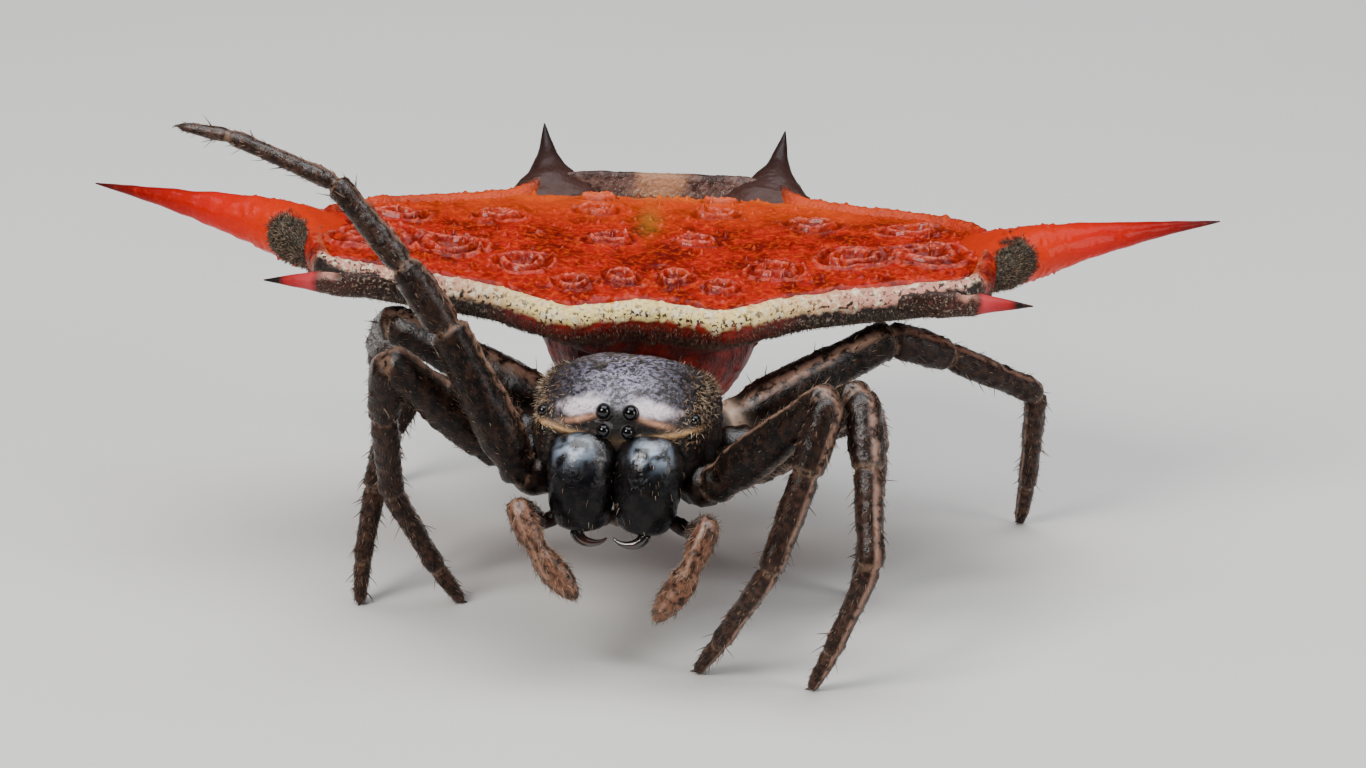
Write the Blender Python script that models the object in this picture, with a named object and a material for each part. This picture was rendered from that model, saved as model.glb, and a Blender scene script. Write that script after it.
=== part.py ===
# Spiny orb weaver, a still life-size model of a broad red spider with six abdominal spines.
# The spider faces -Y, with its own left at +X, and stands on Z = 0.
# Sizes below are in millimetres; the meshes are in metres.

import math

import bmesh
import bpy
import numpy as np

mm = 0.001
seat_gap = 0.15              # clear space between two pieces that touch
eye_gap = 0.05

# Abdomen: a wide hard plate with a rolled rim over a short rounded belly
plate_half_width = 6.65
plate_front = -2.22          # foremost point of the two front lobes
plate_notch = 0.75           # how far the rim draws back between the lobes
plate_back = 5.20
plate_middle_y = 1.5
plate_crown = 0.20           # how far the plate's middle rises over its edge
rim_front_z = 5.62
rim_side_rise = 0.38         # the plate's sides curve up towards the long spines
rim_back_rise = 0.25
rim_height = 0.46
rim_tuck = 0.22              # how far the rim's lower edge draws in
plate_sides = 60
belly_middle_y = 1.20
belly_half_width = 2.00
belly_half_length = 2.25
belly_shoulder_z = 4.45
belly_bottom_z = 2.75
waist_start = (0.0, -1.60, 3.50)
waist_end = (0.0, -1.20, 3.85)
spinneret_middle_y = 2.10
spinneret_reach = 0.78       # how far the cones hang under the belly

# Spines: root and tip in plan, how deep the root lies under the plate's edge, how far the tip
# stands over or under its root, how far the middle bows up, radius at the root
front_spine = {"root": (5.55, -0.15), "tip": (7.00, -0.35), "sunk": 0.28, "lift": -0.08,
               "bow": 0.04, "radius": 0.33}
side_spine = {"root": (5.70, 0.60), "tip": (10.45, 2.85), "sunk": 0.30, "lift": 0.55,
              "bow": 0.12, "radius": 0.52}
back_spine = {"root": (2.00, 4.55), "tip": (2.28, 6.10), "sunk": 0.35, "lift": 0.85,
              "bow": -0.10, "radius": 0.46}
spine_taper = ((0.0, 0.42), (0.10, 0.78), (0.20, 0.96), (0.30, 0.90), (0.45, 0.68), (0.62, 0.46),
               (0.78, 0.28), (0.90, 0.15), (0.97, 0.08), (1.0, 0.04))
collar_shape = ((0.50, 0.30), (0.62, 0.50), (0.82, 0.58), (1.02, 0.59), (1.20, 0.50), (1.28, 0.30))

# Sigilla: oval rings on the plate, half of them here and the rest by mirror; x, y, half length, half width
front_sigilla = [(0.48, -0.40, 0.25, 0.22), (1.36, -0.72, 0.26, 0.23), (2.32, 0.10, 0.34, 0.26),
                 (3.70, 0.75, 0.42, 0.30), (5.05, 0.95, 0.50, 0.34)]
inner_sigilla = [(0.80, 1.52, 0.34, 0.22), (1.10, 3.12, 0.33, 0.20)]
back_sigilla = [(1.15, 4.30, 0.28, 0.17), (2.90, 2.60, 0.36, 0.22), (4.75, 2.35, 0.42, 0.23)]
sigilla_ridge = 0.08         # radius of the raised ring itself

# Prosoma: the domed head and chest, turned a little to its own right
prosoma_turn = math.radians(-5.5)
prosoma_pivot = (0.0, -1.6)
prosoma_front = -5.05
dome_top_z = 5.32
sternum_z = 2.85
# Sections from the waist to the face: y, half width, lowest and highest z
prosoma_sections = [(-1.78, 0.50, 3.25, 3.75), (-1.95, 0.95, 3.05, 4.10), (-2.25, 1.32, 2.92, 4.55),
                    (-2.65, 1.55, 2.86, 5.00), (-3.10, 1.64, sternum_z, 5.26),
                    (-3.55, 1.66, sternum_z, dome_top_z), (-4.00, 1.63, 2.88, 5.30),
                    (-4.40, 1.55, 2.95, 5.15), (-4.75, 1.42, 3.10, 4.90), (-4.95, 1.28, 3.35, 4.66),
                    (prosoma_front, 1.08, 3.60, 4.42)]
prosoma_squareness = 0.72    # 1 gives oval sections, less gives fuller corners
middle_mound = {"at": (0.0, -4.78, 4.58), "radius": 0.36, "stretch": (1.35, 0.75, 1.15)}
side_mound = {"at": (1.19, -4.55, 4.50), "radius": 0.25, "stretch": (0.9, 0.9, 1.1)}

# Eyes on the animal's left, as they lie before the prosoma's turn: x, y, z, radius
eye_places = {
    "eye_front_median": (0.20, -5.00, 4.47, 0.125),
    "eye_back_median": (0.24, -4.93, 4.81, 0.135),
    "eye_front_side": (1.20, -4.76, 4.40, 0.11),
    "eye_back_side": (1.32, -4.64, 4.64, 0.11),
}

# Jaws, fangs, mouthparts and palps, also given before the turn
jaw_top = (0.64, -4.93, 4.00)
jaw_low = (0.50, -5.30, 2.85)
jaw_bow = 0.16               # how far the jaw's front swells out
jaw_shape = ((0.0, 0.30, 0.24), (0.08, 0.46, 0.40), (0.25, 0.55, 0.52), (0.5, 0.53, 0.54),
             (0.75, 0.46, 0.47), (0.92, 0.38, 0.36), (1.0, 0.24, 0.22))
fang_hinge = (0.62, -5.42, 2.66)
fang_reach = 0.30            # radius of the fang's bend
fang_radius = 0.13
mouthparts_place = (0.0, -4.42, 2.62)
palp_joints = {
    "left": ((0.85, -4.50, 2.72), (1.40, -4.80, 2.55), (1.80, -5.70, 3.10), (1.48, -6.05, 2.25),
             (0.90, -5.95, 1.30)),
    "right": ((-0.85, -4.50, 2.72), (-1.40, -4.80, 2.55), (-1.66, -5.72, 3.22), (-1.16, -6.05, 2.42),
              (-0.52, -5.95, 1.62)),
}
palp_radii = (0.15, 0.21, 0.25, 0.27, 0.26, 0.27, 0.25, 0.28, 0.25, 0.17, 0.07)

# Legs: segment lengths by pair, in order femur, patella, tibia, metatarsus, tarsus
coxa_radius = 0.40
coxa_start = 1.50
coxa_end = 2.30
coxa_centre_y = -3.15
coxa_z = 3.42
coxa_fan = {1: -42.0, 2: -12.0, 3: 19.0, 4: 50.0}
segment_lengths = {1: (3.0, 1.35, 1.9, 2.1, 0.95), 2: (2.9, 1.30, 1.8, 2.0, 0.90),
                   3: (2.1, 0.95, 1.15, 1.3, 0.75), 4: (3.5, 1.30, 2.3, 2.4, 0.95)}
segment_radii = (0.44, 0.36, 0.285, 0.25, 0.25)
# How each segment swells and narrows, the coxa first: part of its length, share of its radius
segment_shapes = (((0.0, 0.55), (0.15, 0.88), (0.45, 1.0), (0.80, 0.98)),
                  ((0.02, 0.82), (0.10, 0.92), (0.35, 1.0), (0.65, 0.94), (0.90, 0.84)),
                  ((0.04, 0.84), (0.45, 1.03), (0.92, 0.90)),
                  ((0.06, 0.88), (0.40, 1.05), (0.92, 0.90)),
                  ((0.05, 0.92), (0.35, 1.03), (0.93, 0.94)),
                  ((0.08, 0.92), (0.50, 1.00)))
leg_sides = 10
foot_radius = 0.15
knee_rounding = 0.75         # length over which a joint's corner is rounded

# Stance: heading is measured from straight sideways towards the rear, pitch is the femur's rise
stance = {
    "leg_1_left": {"pair": 1, "side": 1, "heading": -20, "pitch": 43, "foot": (1.20, -5.15), "bulge": -75},
    "leg_2_left": {"pair": 2, "side": 1, "heading": -28, "pitch": 40, "foot": (3.27, -5.80), "bulge": -60},
    "leg_3_left": {"pair": 3, "side": 1, "heading": 6, "pitch": 20, "foot": (3.95, -1.10), "bulge": 0},
    "leg_4_left": {"pair": 4, "side": 1, "heading": 26, "pitch": 21, "foot": (6.95, 2.90), "bulge": 20},
    "leg_2_right": {"pair": 2, "side": -1, "heading": -20, "pitch": 42, "foot": (-3.20, -2.15), "bulge": 0},
    "leg_3_right": {"pair": 3, "side": -1, "heading": 4, "pitch": 22, "foot": (-5.05, -2.45), "bulge": 0},
    "leg_4_right": {"pair": 4, "side": -1, "heading": 15, "pitch": 22, "foot": (-4.90, 3.90), "bulge": 75},
}
raised_leg = {"pair": 1, "side": -1, "headings": (8, 24, 12), "pitches": (62, 44, 19), "tarsus_droop": 14}


def clear_scene():
    for thing in list(bpy.data.objects):
        bpy.data.objects.remove(thing, do_unlink=True)


def make_material(name, color, roughness, metallic=0.0):
    material = bpy.data.materials.new(name)
    material.use_nodes = True
    shader = material.node_tree.nodes["Principled BSDF"]
    shader.inputs["Base Color"].default_value = (*color, 1.0)
    shader.inputs["Roughness"].default_value = roughness
    shader.inputs["Metallic"].default_value = metallic
    return material


def mesh_object(name, vertices, faces, material=None):
    mesh = bpy.data.meshes.new(name)
    mesh.from_pydata([tuple(v) for v in np.asarray(vertices) * mm], [], faces)
    mesh.update()
    thing = bpy.data.objects.new(name, mesh)
    bpy.context.collection.objects.link(thing)
    if material is not None:
        mesh.materials.append(material)
    return thing


def loft(name, rings, material=None):
    """Closed body through rings of equal point count; each end is closed by a fan."""
    rings = np.asarray(rings, float)
    count, sides = rings.shape[:2]
    vertices = list(rings.reshape(-1, 3))
    faces = []
    for i in range(count - 1):
        for j in range(sides):
            k = (j + 1) % sides
            faces.append((i * sides + j, i * sides + k, (i + 1) * sides + k, (i + 1) * sides + j))
    for ring, flip in ((0, True), (count - 1, False)):
        middle = len(vertices)
        vertices.append(rings[ring].mean(axis=0))
        for j in range(sides):
            edge = (ring * sides + j, ring * sides + (j + 1) % sides)
            faces.append((middle, *(edge[::-1] if flip else edge)))
    thing = mesh_object(name, vertices, faces, material)
    face_outward(thing)
    return thing


def face_outward(thing):
    shape = bmesh.new()
    shape.from_mesh(thing.data)
    bmesh.ops.recalc_face_normals(shape, faces=shape.faces)
    bmesh.ops.triangulate(shape, faces=shape.faces)
    shape.to_mesh(thing.data)
    shape.free()


def unit(vector):
    vector = np.asarray(vector, float)
    return vector / np.linalg.norm(vector)


def ring_at(centre, tangent, across, radius_across, radius_up, sides):
    """Oval ring square to the tangent, its first axis as near to across as it can be."""
    tangent = unit(tangent)
    side = unit(np.asarray(across) - tangent * np.dot(across, tangent))
    up = np.cross(tangent, side)
    turn = np.linspace(0, 2 * math.pi, sides, endpoint=False)
    return centre + np.outer(np.cos(turn) * radius_across, side) + np.outer(np.sin(turn) * radius_up, up)


def smooth_path(joints, window):
    """Gives places by length along the joints, with the corners rounded by a running mean."""
    joints = np.asarray(joints, float)
    lengths = np.linalg.norm(np.diff(joints, axis=0), axis=1)
    marks = np.concatenate([[0], np.cumsum(lengths)])
    half = window / 2

    def place(at):
        inside = np.clip(at, 0, marks[-1])
        point = np.stack([np.interp(inside, marks, joints[:, axis]) for axis in range(3)], axis=-1)
        before = np.minimum(at, 0)[..., None] * unit(joints[1] - joints[0])
        after = np.maximum(at - marks[-1], 0)[..., None] * unit(joints[-1] - joints[-2])
        return point + before + after

    def smoothed(at):
        spread = np.linspace(-half, half, 15)
        return place(np.asarray(at)[..., None] + spread).mean(axis=-2)

    return smoothed


def tube(name, joints, ring_marks, radii, across, window, sides, material=None, flat_end=None):
    """Tube with rounded corners; ring_marks are lengths along the joints, radii one for each."""
    place = smooth_path(joints, window)
    rings = []
    for at, radius in zip(ring_marks, radii):
        tangent = place(at + 0.05) - place(at - 0.05)
        rings.append(ring_at(place(at), tangent, across, radius, radius, sides))
    if flat_end is not None:
        point, radius = flat_end
        rings.append(ring_at(np.asarray(point), (0, 0, -1), across, radius, radius, sides))
    return loft(name, rings, material)


def join_pieces(base, pieces):
    """One Boolean union of the base with closed pieces, which are then removed."""
    group = bpy.data.collections.new(base.name + "_pieces")
    bpy.context.scene.collection.children.link(group)
    for piece in pieces:
        bpy.context.collection.objects.unlink(piece)
        group.objects.link(piece)
    apply_boolean(base, group, "UNION")
    remove_group(group)
    keep_largest_surface(base)


def cut_pieces(base, cutters):
    """Boolean difference of the base and closed cutters, which are then removed."""
    group = bpy.data.collections.new(base.name + "_cutters")
    bpy.context.scene.collection.children.link(group)
    for cutter in cutters:
        bpy.context.collection.objects.unlink(cutter)
        group.objects.link(cutter)
    apply_boolean(base, group, "DIFFERENCE")
    remove_group(group)
    keep_largest_surface(base)


def apply_boolean(base, group, operation):
    modifier = base.modifiers.new(operation.lower(), "BOOLEAN")
    modifier.operation = operation
    modifier.operand_type = "COLLECTION"
    modifier.collection = group
    modifier.solver = "EXACT"
    bpy.context.view_layer.update()
    evaluated = base.evaluated_get(bpy.context.evaluated_depsgraph_get())
    mesh = bpy.data.meshes.new_from_object(evaluated)
    base.modifiers.remove(modifier)
    base.data = mesh


def remove_group(group):
    for thing in list(group.objects):
        bpy.data.objects.remove(thing, do_unlink=True)
    bpy.data.collections.remove(group)


def keep_largest_surface(thing):
    """Deletes every closed surface but the one with the most volume."""
    shape = bmesh.new()
    shape.from_mesh(thing.data)
    bmesh.ops.remove_doubles(shape, verts=shape.verts, dist=0.002 * mm)
    bmesh.ops.triangulate(shape, faces=shape.faces)
    unseen = set(shape.faces)
    groups = []
    while unseen:
        stack = [unseen.pop()]
        group = []
        while stack:
            face = stack.pop()
            group.append(face)
            for edge in face.edges:
                for other in edge.link_faces:
                    if other in unseen:
                        unseen.remove(other)
                        stack.append(other)
        groups.append(group)

    def volume(group):
        return abs(sum(f.verts[0].co.dot(f.verts[1].co.cross(f.verts[2].co)) for f in group))

    largest = max(groups, key=volume)
    loose = [face for group in groups if group is not largest for face in group]
    if loose:
        bmesh.ops.delete(shape, geom=loose, context="FACES")
    bmesh.ops.delete(shape, geom=[v for v in shape.verts if not v.link_faces], context="VERTS")
    shape.to_mesh(thing.data)
    shape.free()


def plate_outline(count):
    """Plan of the plate's edge, read from a smooth closed curve through its corners."""
    half = [(0.0, plate_front + plate_notch), (0.75, plate_front + 0.42), (1.6, plate_front), (3.0, -1.42),
            (5.0, -0.68), (6.1, -0.32), (6.6, 0.35), (plate_half_width, 1.30), (6.2, 2.55), (5.2, 3.40),
            (3.6, 4.00), (2.65, 4.45), (2.3, 4.95), (1.2, plate_back), (0.0, plate_back)]
    mirrored = [(-x, y) for x, y in half[-2:0:-1]]
    points = np.array(half + mirrored)
    size = len(points)
    outline = []
    for at in np.linspace(0, size, count, endpoint=False):
        i = int(at)
        t = at - i
        p0, p1, p2, p3 = (points[(i + k) % size] for k in (-1, 0, 1, 2))
        outline.append(0.5 * (2 * p1 + (p2 - p0) * t + (2 * p0 - 5 * p1 + 4 * p2 - p3) * t * t
                              + (3 * p1 - p0 - 3 * p2 + p3) * t ** 3))
    return np.array(outline)


def rim_z(x, y):
    """Height of the plate's upper edge."""
    side = np.clip(np.abs(x) / plate_half_width, 0, 1) ** 2
    back = np.clip((y - plate_middle_y) / (plate_back - plate_middle_y), 0, 1) ** 2
    return rim_front_z + rim_side_rise * side + rim_back_rise * back * (1 - side)


def plate_z(x, y, inward):
    """Height of the plate's face; inward is 0 at its edge and 1 at its middle."""
    return rim_z(x, y) + plate_crown * np.sin(np.clip(inward, 0, 1) * math.pi / 2)


def build_plate(material):
    """The abdomen's body as rings from the plate's middle over the rim to the belly's bottom."""
    outline = plate_outline(plate_sides)
    centre = np.array([0.0, plate_middle_y])
    rings = []
    for scale in (0.05, 0.25, 0.45, 0.65, 0.82, 0.93):
        plan = centre + (outline - centre) * scale
        rings.append(np.column_stack([plan, plate_z(plan[:, 0], plan[:, 1], 1.15 * (1 - scale))]))
    edge_z = rim_z(outline[:, 0], outline[:, 1])
    inward = unit_rows(centre - outline)
    for inset, drop in ((0.12, -0.02), (0.0, 0.16), (0.02, 0.36), (rim_tuck, rim_height)):
        rings.append(np.column_stack([outline + inward * inset, edge_z - drop]))
    angle = np.arctan2(outline[:, 0] / belly_half_width, (outline[:, 1] - belly_middle_y) / belly_half_length)
    shoulder = np.column_stack([belly_half_width * np.sin(angle),
                                belly_middle_y + belly_half_length * np.cos(angle)])
    for part in (0.35, 0.7, 1.0):
        plan = outline + inward * rim_tuck
        plan = plan + (shoulder - plan) * part
        z = (edge_z - rim_height) + (belly_shoulder_z - edge_z + rim_height) * part ** 2.2
        rings.append(np.column_stack([plan, z]))
    belly = np.array([0.0, belly_middle_y])
    for scale in (0.9, 0.7, 0.42, 0.12):
        z = belly_bottom_z + (belly_shoulder_z - belly_bottom_z) * (1 - math.sqrt(1 - scale ** 2.4))
        rings.append(np.column_stack([belly + (shoulder - belly) * scale, np.full(len(outline), z)]))
    return loft("abdomen", rings, material)


def unit_rows(rows):
    return rows / np.linalg.norm(rows, axis=1)[:, None]


def spine_ends(shape, side):
    """Root inside the plate and tip in the open, for the spine on one side."""
    x, y = shape["root"]
    z = float(rim_z(x, y)) - shape["sunk"]
    return np.array([side * x, y, z]), np.array([side * shape["tip"][0], shape["tip"][1], z + shape["lift"]])


def build_spine(name, shape, side, sides=12):
    """Tapered horn from its root inside the plate to a rounded tip."""
    root, tip = spine_ends(shape, side)
    rings = []
    for part, width in spine_taper:
        place = root + (tip - root) * part + np.array([0, 0, shape["bow"] * math.sin(math.pi * part)])
        slope = (tip - root) + np.array([0, 0, shape["bow"] * math.pi * math.cos(math.pi * part)])
        radius = shape["radius"] * width
        rings.append(ring_at(place, slope, (0, 0, 1), radius, radius, sides))
    return loft(name, rings)


def build_collar(side):
    """Low swollen collar where the long side spine leaves the plate."""
    root, tip = spine_ends(side_spine, side)
    way = unit(tip - root)
    return loft("spine_collar", [ring_at(root + way * along, way, (0, 0, 1), radius, radius, 12)
                                 for along, radius in collar_shape])


def spine_pieces():
    pieces = []
    for side in (1, -1):
        pieces.append(build_spine("front_spine", front_spine, side))
        pieces.append(build_spine("side_spine", side_spine, side))
        pieces.append(build_collar(side))
        pieces.append(build_spine("back_spine", back_spine, side))
    return pieces


def sigillum(x, y, half_length, half_width, sides=12, ridge_sides=4):
    """Raised oval ring half sunk in the plate, closed round on itself."""
    vertices = []
    for i in range(sides):
        turn = 2 * math.pi * i / sides
        dx, dy = math.cos(turn), math.sin(turn)
        for j in range(ridge_sides):
            roll = 2 * math.pi * j / ridge_sides
            reach_x = half_length + sigilla_ridge * math.cos(roll)
            reach_y = half_width + sigilla_ridge * math.cos(roll)
            px, py = x + dx * reach_x, y + dy * reach_y
            vertices.append((px, py, surface_z(px, py) + 0.005 + sigilla_ridge * math.sin(roll)))
    faces = []
    for i in range(sides):
        for j in range(ridge_sides):
            a, b = i * ridge_sides, ((i + 1) % sides) * ridge_sides
            k = (j + 1) % ridge_sides
            faces.append((a + j, b + j, b + k, a + k))
    thing = mesh_object("sigillum", vertices, faces)
    face_outward(thing)
    return thing


def surface_z(x, y):
    """Height of the plate's face at a plan point, from how far the point lies inside the edge."""
    outline = plate_outline(plate_sides)
    centre = np.array([0.0, plate_middle_y])
    point = np.array([x, y]) - centre
    spokes = outline - centre
    turn = np.arctan2(spokes[:, 1], spokes[:, 0])
    order = np.argsort(turn)
    reach = np.interp(math.atan2(point[1], point[0]), turn[order], np.linalg.norm(spokes, axis=1)[order],
                      period=2 * math.pi)
    inward = 1.15 * (1 - np.linalg.norm(point) / reach)
    return float(plate_z(x, y, inward))


def build_abdomen(material):
    abdomen = build_plate(material)
    pieces = spine_pieces()
    for x, y, half_length, half_width in front_sigilla + inner_sigilla + back_sigilla:
        for side in (1, -1):
            pieces.append(sigillum(side * x, y, half_length, half_width))
    join_pieces(abdomen, pieces)
    return abdomen


def turned_way(way):
    """A direction on the prosoma, turned with it."""
    cos, sin = math.cos(prosoma_turn), math.sin(prosoma_turn)
    return np.array([way[0] * cos - way[1] * sin, way[0] * sin + way[1] * cos, way[2]])


def turned(point):
    """A place on the prosoma, turned with it about the waist."""
    pivot = np.array([*prosoma_pivot, 0.0])
    return pivot + turned_way(np.asarray(point, float) - pivot)


def on_side(point, side):
    """A place given for the animal's left, on either side."""
    return (side * point[0], point[1], point[2])


def eye_mounds():
    """Low mounds that carry the middle four eyes and each pair at the sides."""
    mounds = [build_round("eye_mound", turned(middle_mound["at"]), middle_mound["radius"], None,
                          middle_mound["stretch"], 12)]
    for side in (1, -1):
        mounds.append(build_round("eye_mound", turned(on_side(side_mound["at"], side)),
                                  side_mound["radius"], None, side_mound["stretch"]))
    return mounds


def build_mouthparts(material):
    """Lip and side plates under the chest, behind the jaws."""
    return build_round("mouthparts", turned(mouthparts_place), 0.50, material, (1.1, 0.62, 0.36), 14)


def build_prosoma(material):
    """Flat-topped dome over a shallow sternum."""
    rings = []
    turn = np.linspace(0, 2 * math.pi, 28, endpoint=False)
    across = np.sign(np.cos(turn)) * np.abs(np.cos(turn)) ** prosoma_squareness
    upward = np.sign(np.sin(turn)) * np.abs(np.sin(turn)) ** prosoma_squareness
    for y, half_width, low, high in prosoma_sections:
        z = (low + high) / 2 + (high - low) / 2 * upward
        rings.append(np.array([turned((px, y, pz)) for px, pz in zip(half_width * across, z)]))
    return loft("prosoma", rings, material)


def coxa_places(pair, side):
    """Start and end of a leg's first segment, which fans out from the chest."""
    fan = math.radians(coxa_fan[pair])
    out = np.array([side * math.cos(fan), math.sin(fan)])
    centre = np.array([0.0, coxa_centre_y])
    start = turned((*(centre + out * coxa_start), coxa_z - 0.05))
    end = turned((*(centre + out * coxa_end), coxa_z))
    return start, end


def direction(side, heading, pitch):
    heading, pitch = math.radians(heading), math.radians(pitch)
    return np.array([side * math.cos(pitch) * math.cos(heading), math.cos(pitch) * math.sin(heading),
                     math.sin(pitch)])


def leg_joints(stand):
    """Joints of a standing leg: the femur by heading and pitch, then two links that reach the foot."""
    femur, patella, tibia, metatarsus, tarsus = segment_lengths[stand["pair"]]
    side = stand["side"]
    start, hip = coxa_places(stand["pair"], side)
    knee = hip + femur * direction(side, stand["heading"], stand["pitch"])
    foot = np.array([*stand["foot"], 0.0])
    upper, lower = patella + tibia, metatarsus + tarsus
    gap = foot - knee
    reach = min(np.linalg.norm(gap), 0.995 * (upper + lower))
    line = unit(gap)
    along = (upper ** 2 - lower ** 2 + reach ** 2) / (2 * reach)
    height = math.sqrt(max(upper ** 2 - along ** 2, 0))
    bulge = math.radians(stand["bulge"])
    out = np.array([side * math.cos(bulge), math.sin(bulge), 0.0])
    out = unit(out - line * np.dot(out, line))
    shin = knee + line * along + out * height
    patella_end = knee + (shin - knee) * patella / upper + out * 0.10
    metatarsus_end = shin + (foot - shin) * metatarsus / lower + out * 0.06
    return [start, hip, knee, patella_end, shin, metatarsus_end, foot]


def raised_joints(raised):
    """Joints of the leg held up in front of the plate, one heading and pitch for each of three links."""
    femur, patella, tibia, metatarsus, tarsus = segment_lengths[raised["pair"]]
    side = raised["side"]
    start, hip = coxa_places(raised["pair"], side)
    ways = [direction(side, h, p) for h, p in zip(raised["headings"], raised["pitches"])]
    knee = hip + femur * ways[0]
    patella_end = knee + patella * unit(ways[0] * 0.35 + ways[1] * 0.65)
    shin = patella_end + tibia * ways[1]
    metatarsus_end = shin + metatarsus * ways[2]
    droop = direction(side, raised["headings"][2], raised["pitches"][2] - raised["tarsus_droop"])
    return [start, hip, knee, patella_end, shin, metatarsus_end, metatarsus_end + tarsus * droop]


def build_leg(name, joints, material, on_floor):
    """One leg: each segment swells a little and is pinched where it meets the next."""
    joints = np.array(joints)
    marks = np.concatenate([[0], np.cumsum(np.linalg.norm(np.diff(joints, axis=0), axis=1))])
    radii = (coxa_radius,) + segment_radii
    ring_marks, ring_radii = [], []
    for segment, shape in enumerate(segment_shapes):
        span = marks[segment + 1] - marks[segment]
        for part, width in shape:
            ring_marks.append(marks[segment] + span * part)
            ring_radii.append(radii[segment] * width)
    if on_floor:
        ring_marks += [marks[-1] - 2 * foot_radius]
        ring_radii += [1.25 * foot_radius]
        flat_end = (joints[-1], foot_radius)
    else:
        ring_marks += [marks[-1] - 0.25, marks[-1] - 0.07, marks[-1]]
        ring_radii += [1.4 * foot_radius, foot_radius, 0.5 * foot_radius]
        flat_end = None
    across = unit(np.cross(joints[2] - joints[1], joints[-1] - joints[2]))
    return tube(name, joints, ring_marks, ring_radii, across, knee_rounding, leg_sides, material, flat_end)


def build_legs(material):
    legs = {name: build_leg(name, leg_joints(stand), material, True) for name, stand in stance.items()}
    legs["leg_1_right"] = build_leg("leg_1_right", raised_joints(raised_leg), material, False)
    return legs


def coxa_cutters():
    """Sockets for the legs in the prosoma's flanks."""
    cutters = []
    for pair in coxa_fan:
        for side in (1, -1):
            start, end = coxa_places(pair, side)
            way = unit(end - start)
            radius = coxa_radius + seat_gap
            rings = []
            for along, width in ((-seat_gap, 0.62), (0.05, 0.93), (0.25, 1.0), (1.1, 1.05)):
                rings.append(ring_at(start + way * along, way, (0, 0, 1), radius * width, radius * width, 12))
            cutters.append(loft("coxa_socket", rings))
    return cutters


def build_chelicera(name, side, material, grown=0.0):
    """Stout bulging jaw, widest above its middle; grown makes the room that it sits in."""
    top = turned(on_side(jaw_top, side))
    low = turned(on_side(jaw_low, side))
    rings = []
    for part, width, depth in jaw_shape:
        bow = np.array([0, -jaw_bow * math.sin(math.pi * part), 0])
        middle = top + (low - top) * part * (1 + grown) + bow - (low - top) * grown * 0.5
        rings.append(ring_at(middle, low - top, turned_way((1, 0, 0)), width + grown, depth + grown, 16))
    return loft(name, rings, material)


def jaw_cutters():
    return [build_chelicera("jaw_room", side, None, seat_gap) for side in (1, -1)]


def build_fang(name, side, material):
    """Curved claw that folds inwards across the jaw's end."""
    hinge = turned(on_side(fang_hinge, side))
    rings = []
    for part in np.linspace(0, 1, 8):
        turn = math.radians(150) * part
        bend = np.array([-side * (1 - math.cos(turn)), -0.33 * math.sin(turn), -0.67 * math.sin(turn)])
        place = hinge + turned_way(fang_reach * bend)
        way = turned_way((-side * (0.05 + math.sin(turn)), 0, -math.cos(turn)))
        width = fang_radius * (1 - 0.78 * part ** 1.3)
        rings.append(ring_at(place, way, (0, 1, 0), width, width, 8))
    return loft(name, rings, material)


def build_palp(name, joints, material):
    """Short leg-like feeler beside the jaws, bent down at its middle."""
    joints = [turned(joint) for joint in joints]
    marks = np.concatenate([[0], np.cumsum(np.linalg.norm(np.diff(joints, axis=0), axis=1))])
    stops = [0.0, 0.12, marks[1], (marks[1] + marks[2]) / 2, marks[2], (marks[2] + marks[3]) / 2, marks[3],
             marks[3] + 0.35, marks[4] - 0.45, marks[4] - 0.15, marks[4]]
    return tube(name, joints, stops, palp_radii, turned_way((1, 0, 0)), 0.5, 10, material)


def build_round(name, centre, radius, material, stretch=(1, 1, 1), sides=8, levels=6):
    """Ball drawn out along the axes by stretch."""
    rings = []
    for k in range(1, levels):
        turn = math.pi * k / levels
        ring_turn = np.linspace(0, 2 * math.pi, sides, endpoint=False)
        rings.append(np.column_stack([
            centre[0] + radius * stretch[0] * math.sin(turn) * np.cos(ring_turn),
            centre[1] + radius * stretch[1] * math.sin(turn) * np.sin(ring_turn),
            np.full(sides, centre[2] + radius * stretch[2] * math.cos(turn))]))
    return loft(name, rings, material)


def build_eyes(material):
    for name, (x, y, z, radius) in eye_places.items():
        for side, word in ((1, "left"), (-1, "right")):
            build_round(name + "_" + word, turned((side * x, y, z)), radius, material)


def eye_cutters():
    cutters = []
    for x, y, z, radius in eye_places.values():
        for side in (1, -1):
            cutters.append(build_round("eye_socket", turned((side * x, y, z)), radius + eye_gap, None))
    return cutters


def build_pedicel(material):
    """Narrow waist between chest and belly."""
    start, end = np.array(waist_start), np.array(waist_end)
    rings = []
    for part, radius in ((0.0, 0.24), (0.25, 0.30), (0.5, 0.25), (0.75, 0.30), (1.0, 0.24)):
        rings.append(ring_at(start + (end - start) * part, (0, 1, 0), (1, 0, 0), radius, radius, 12))
    return loft("pedicel", rings, material)


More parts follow.
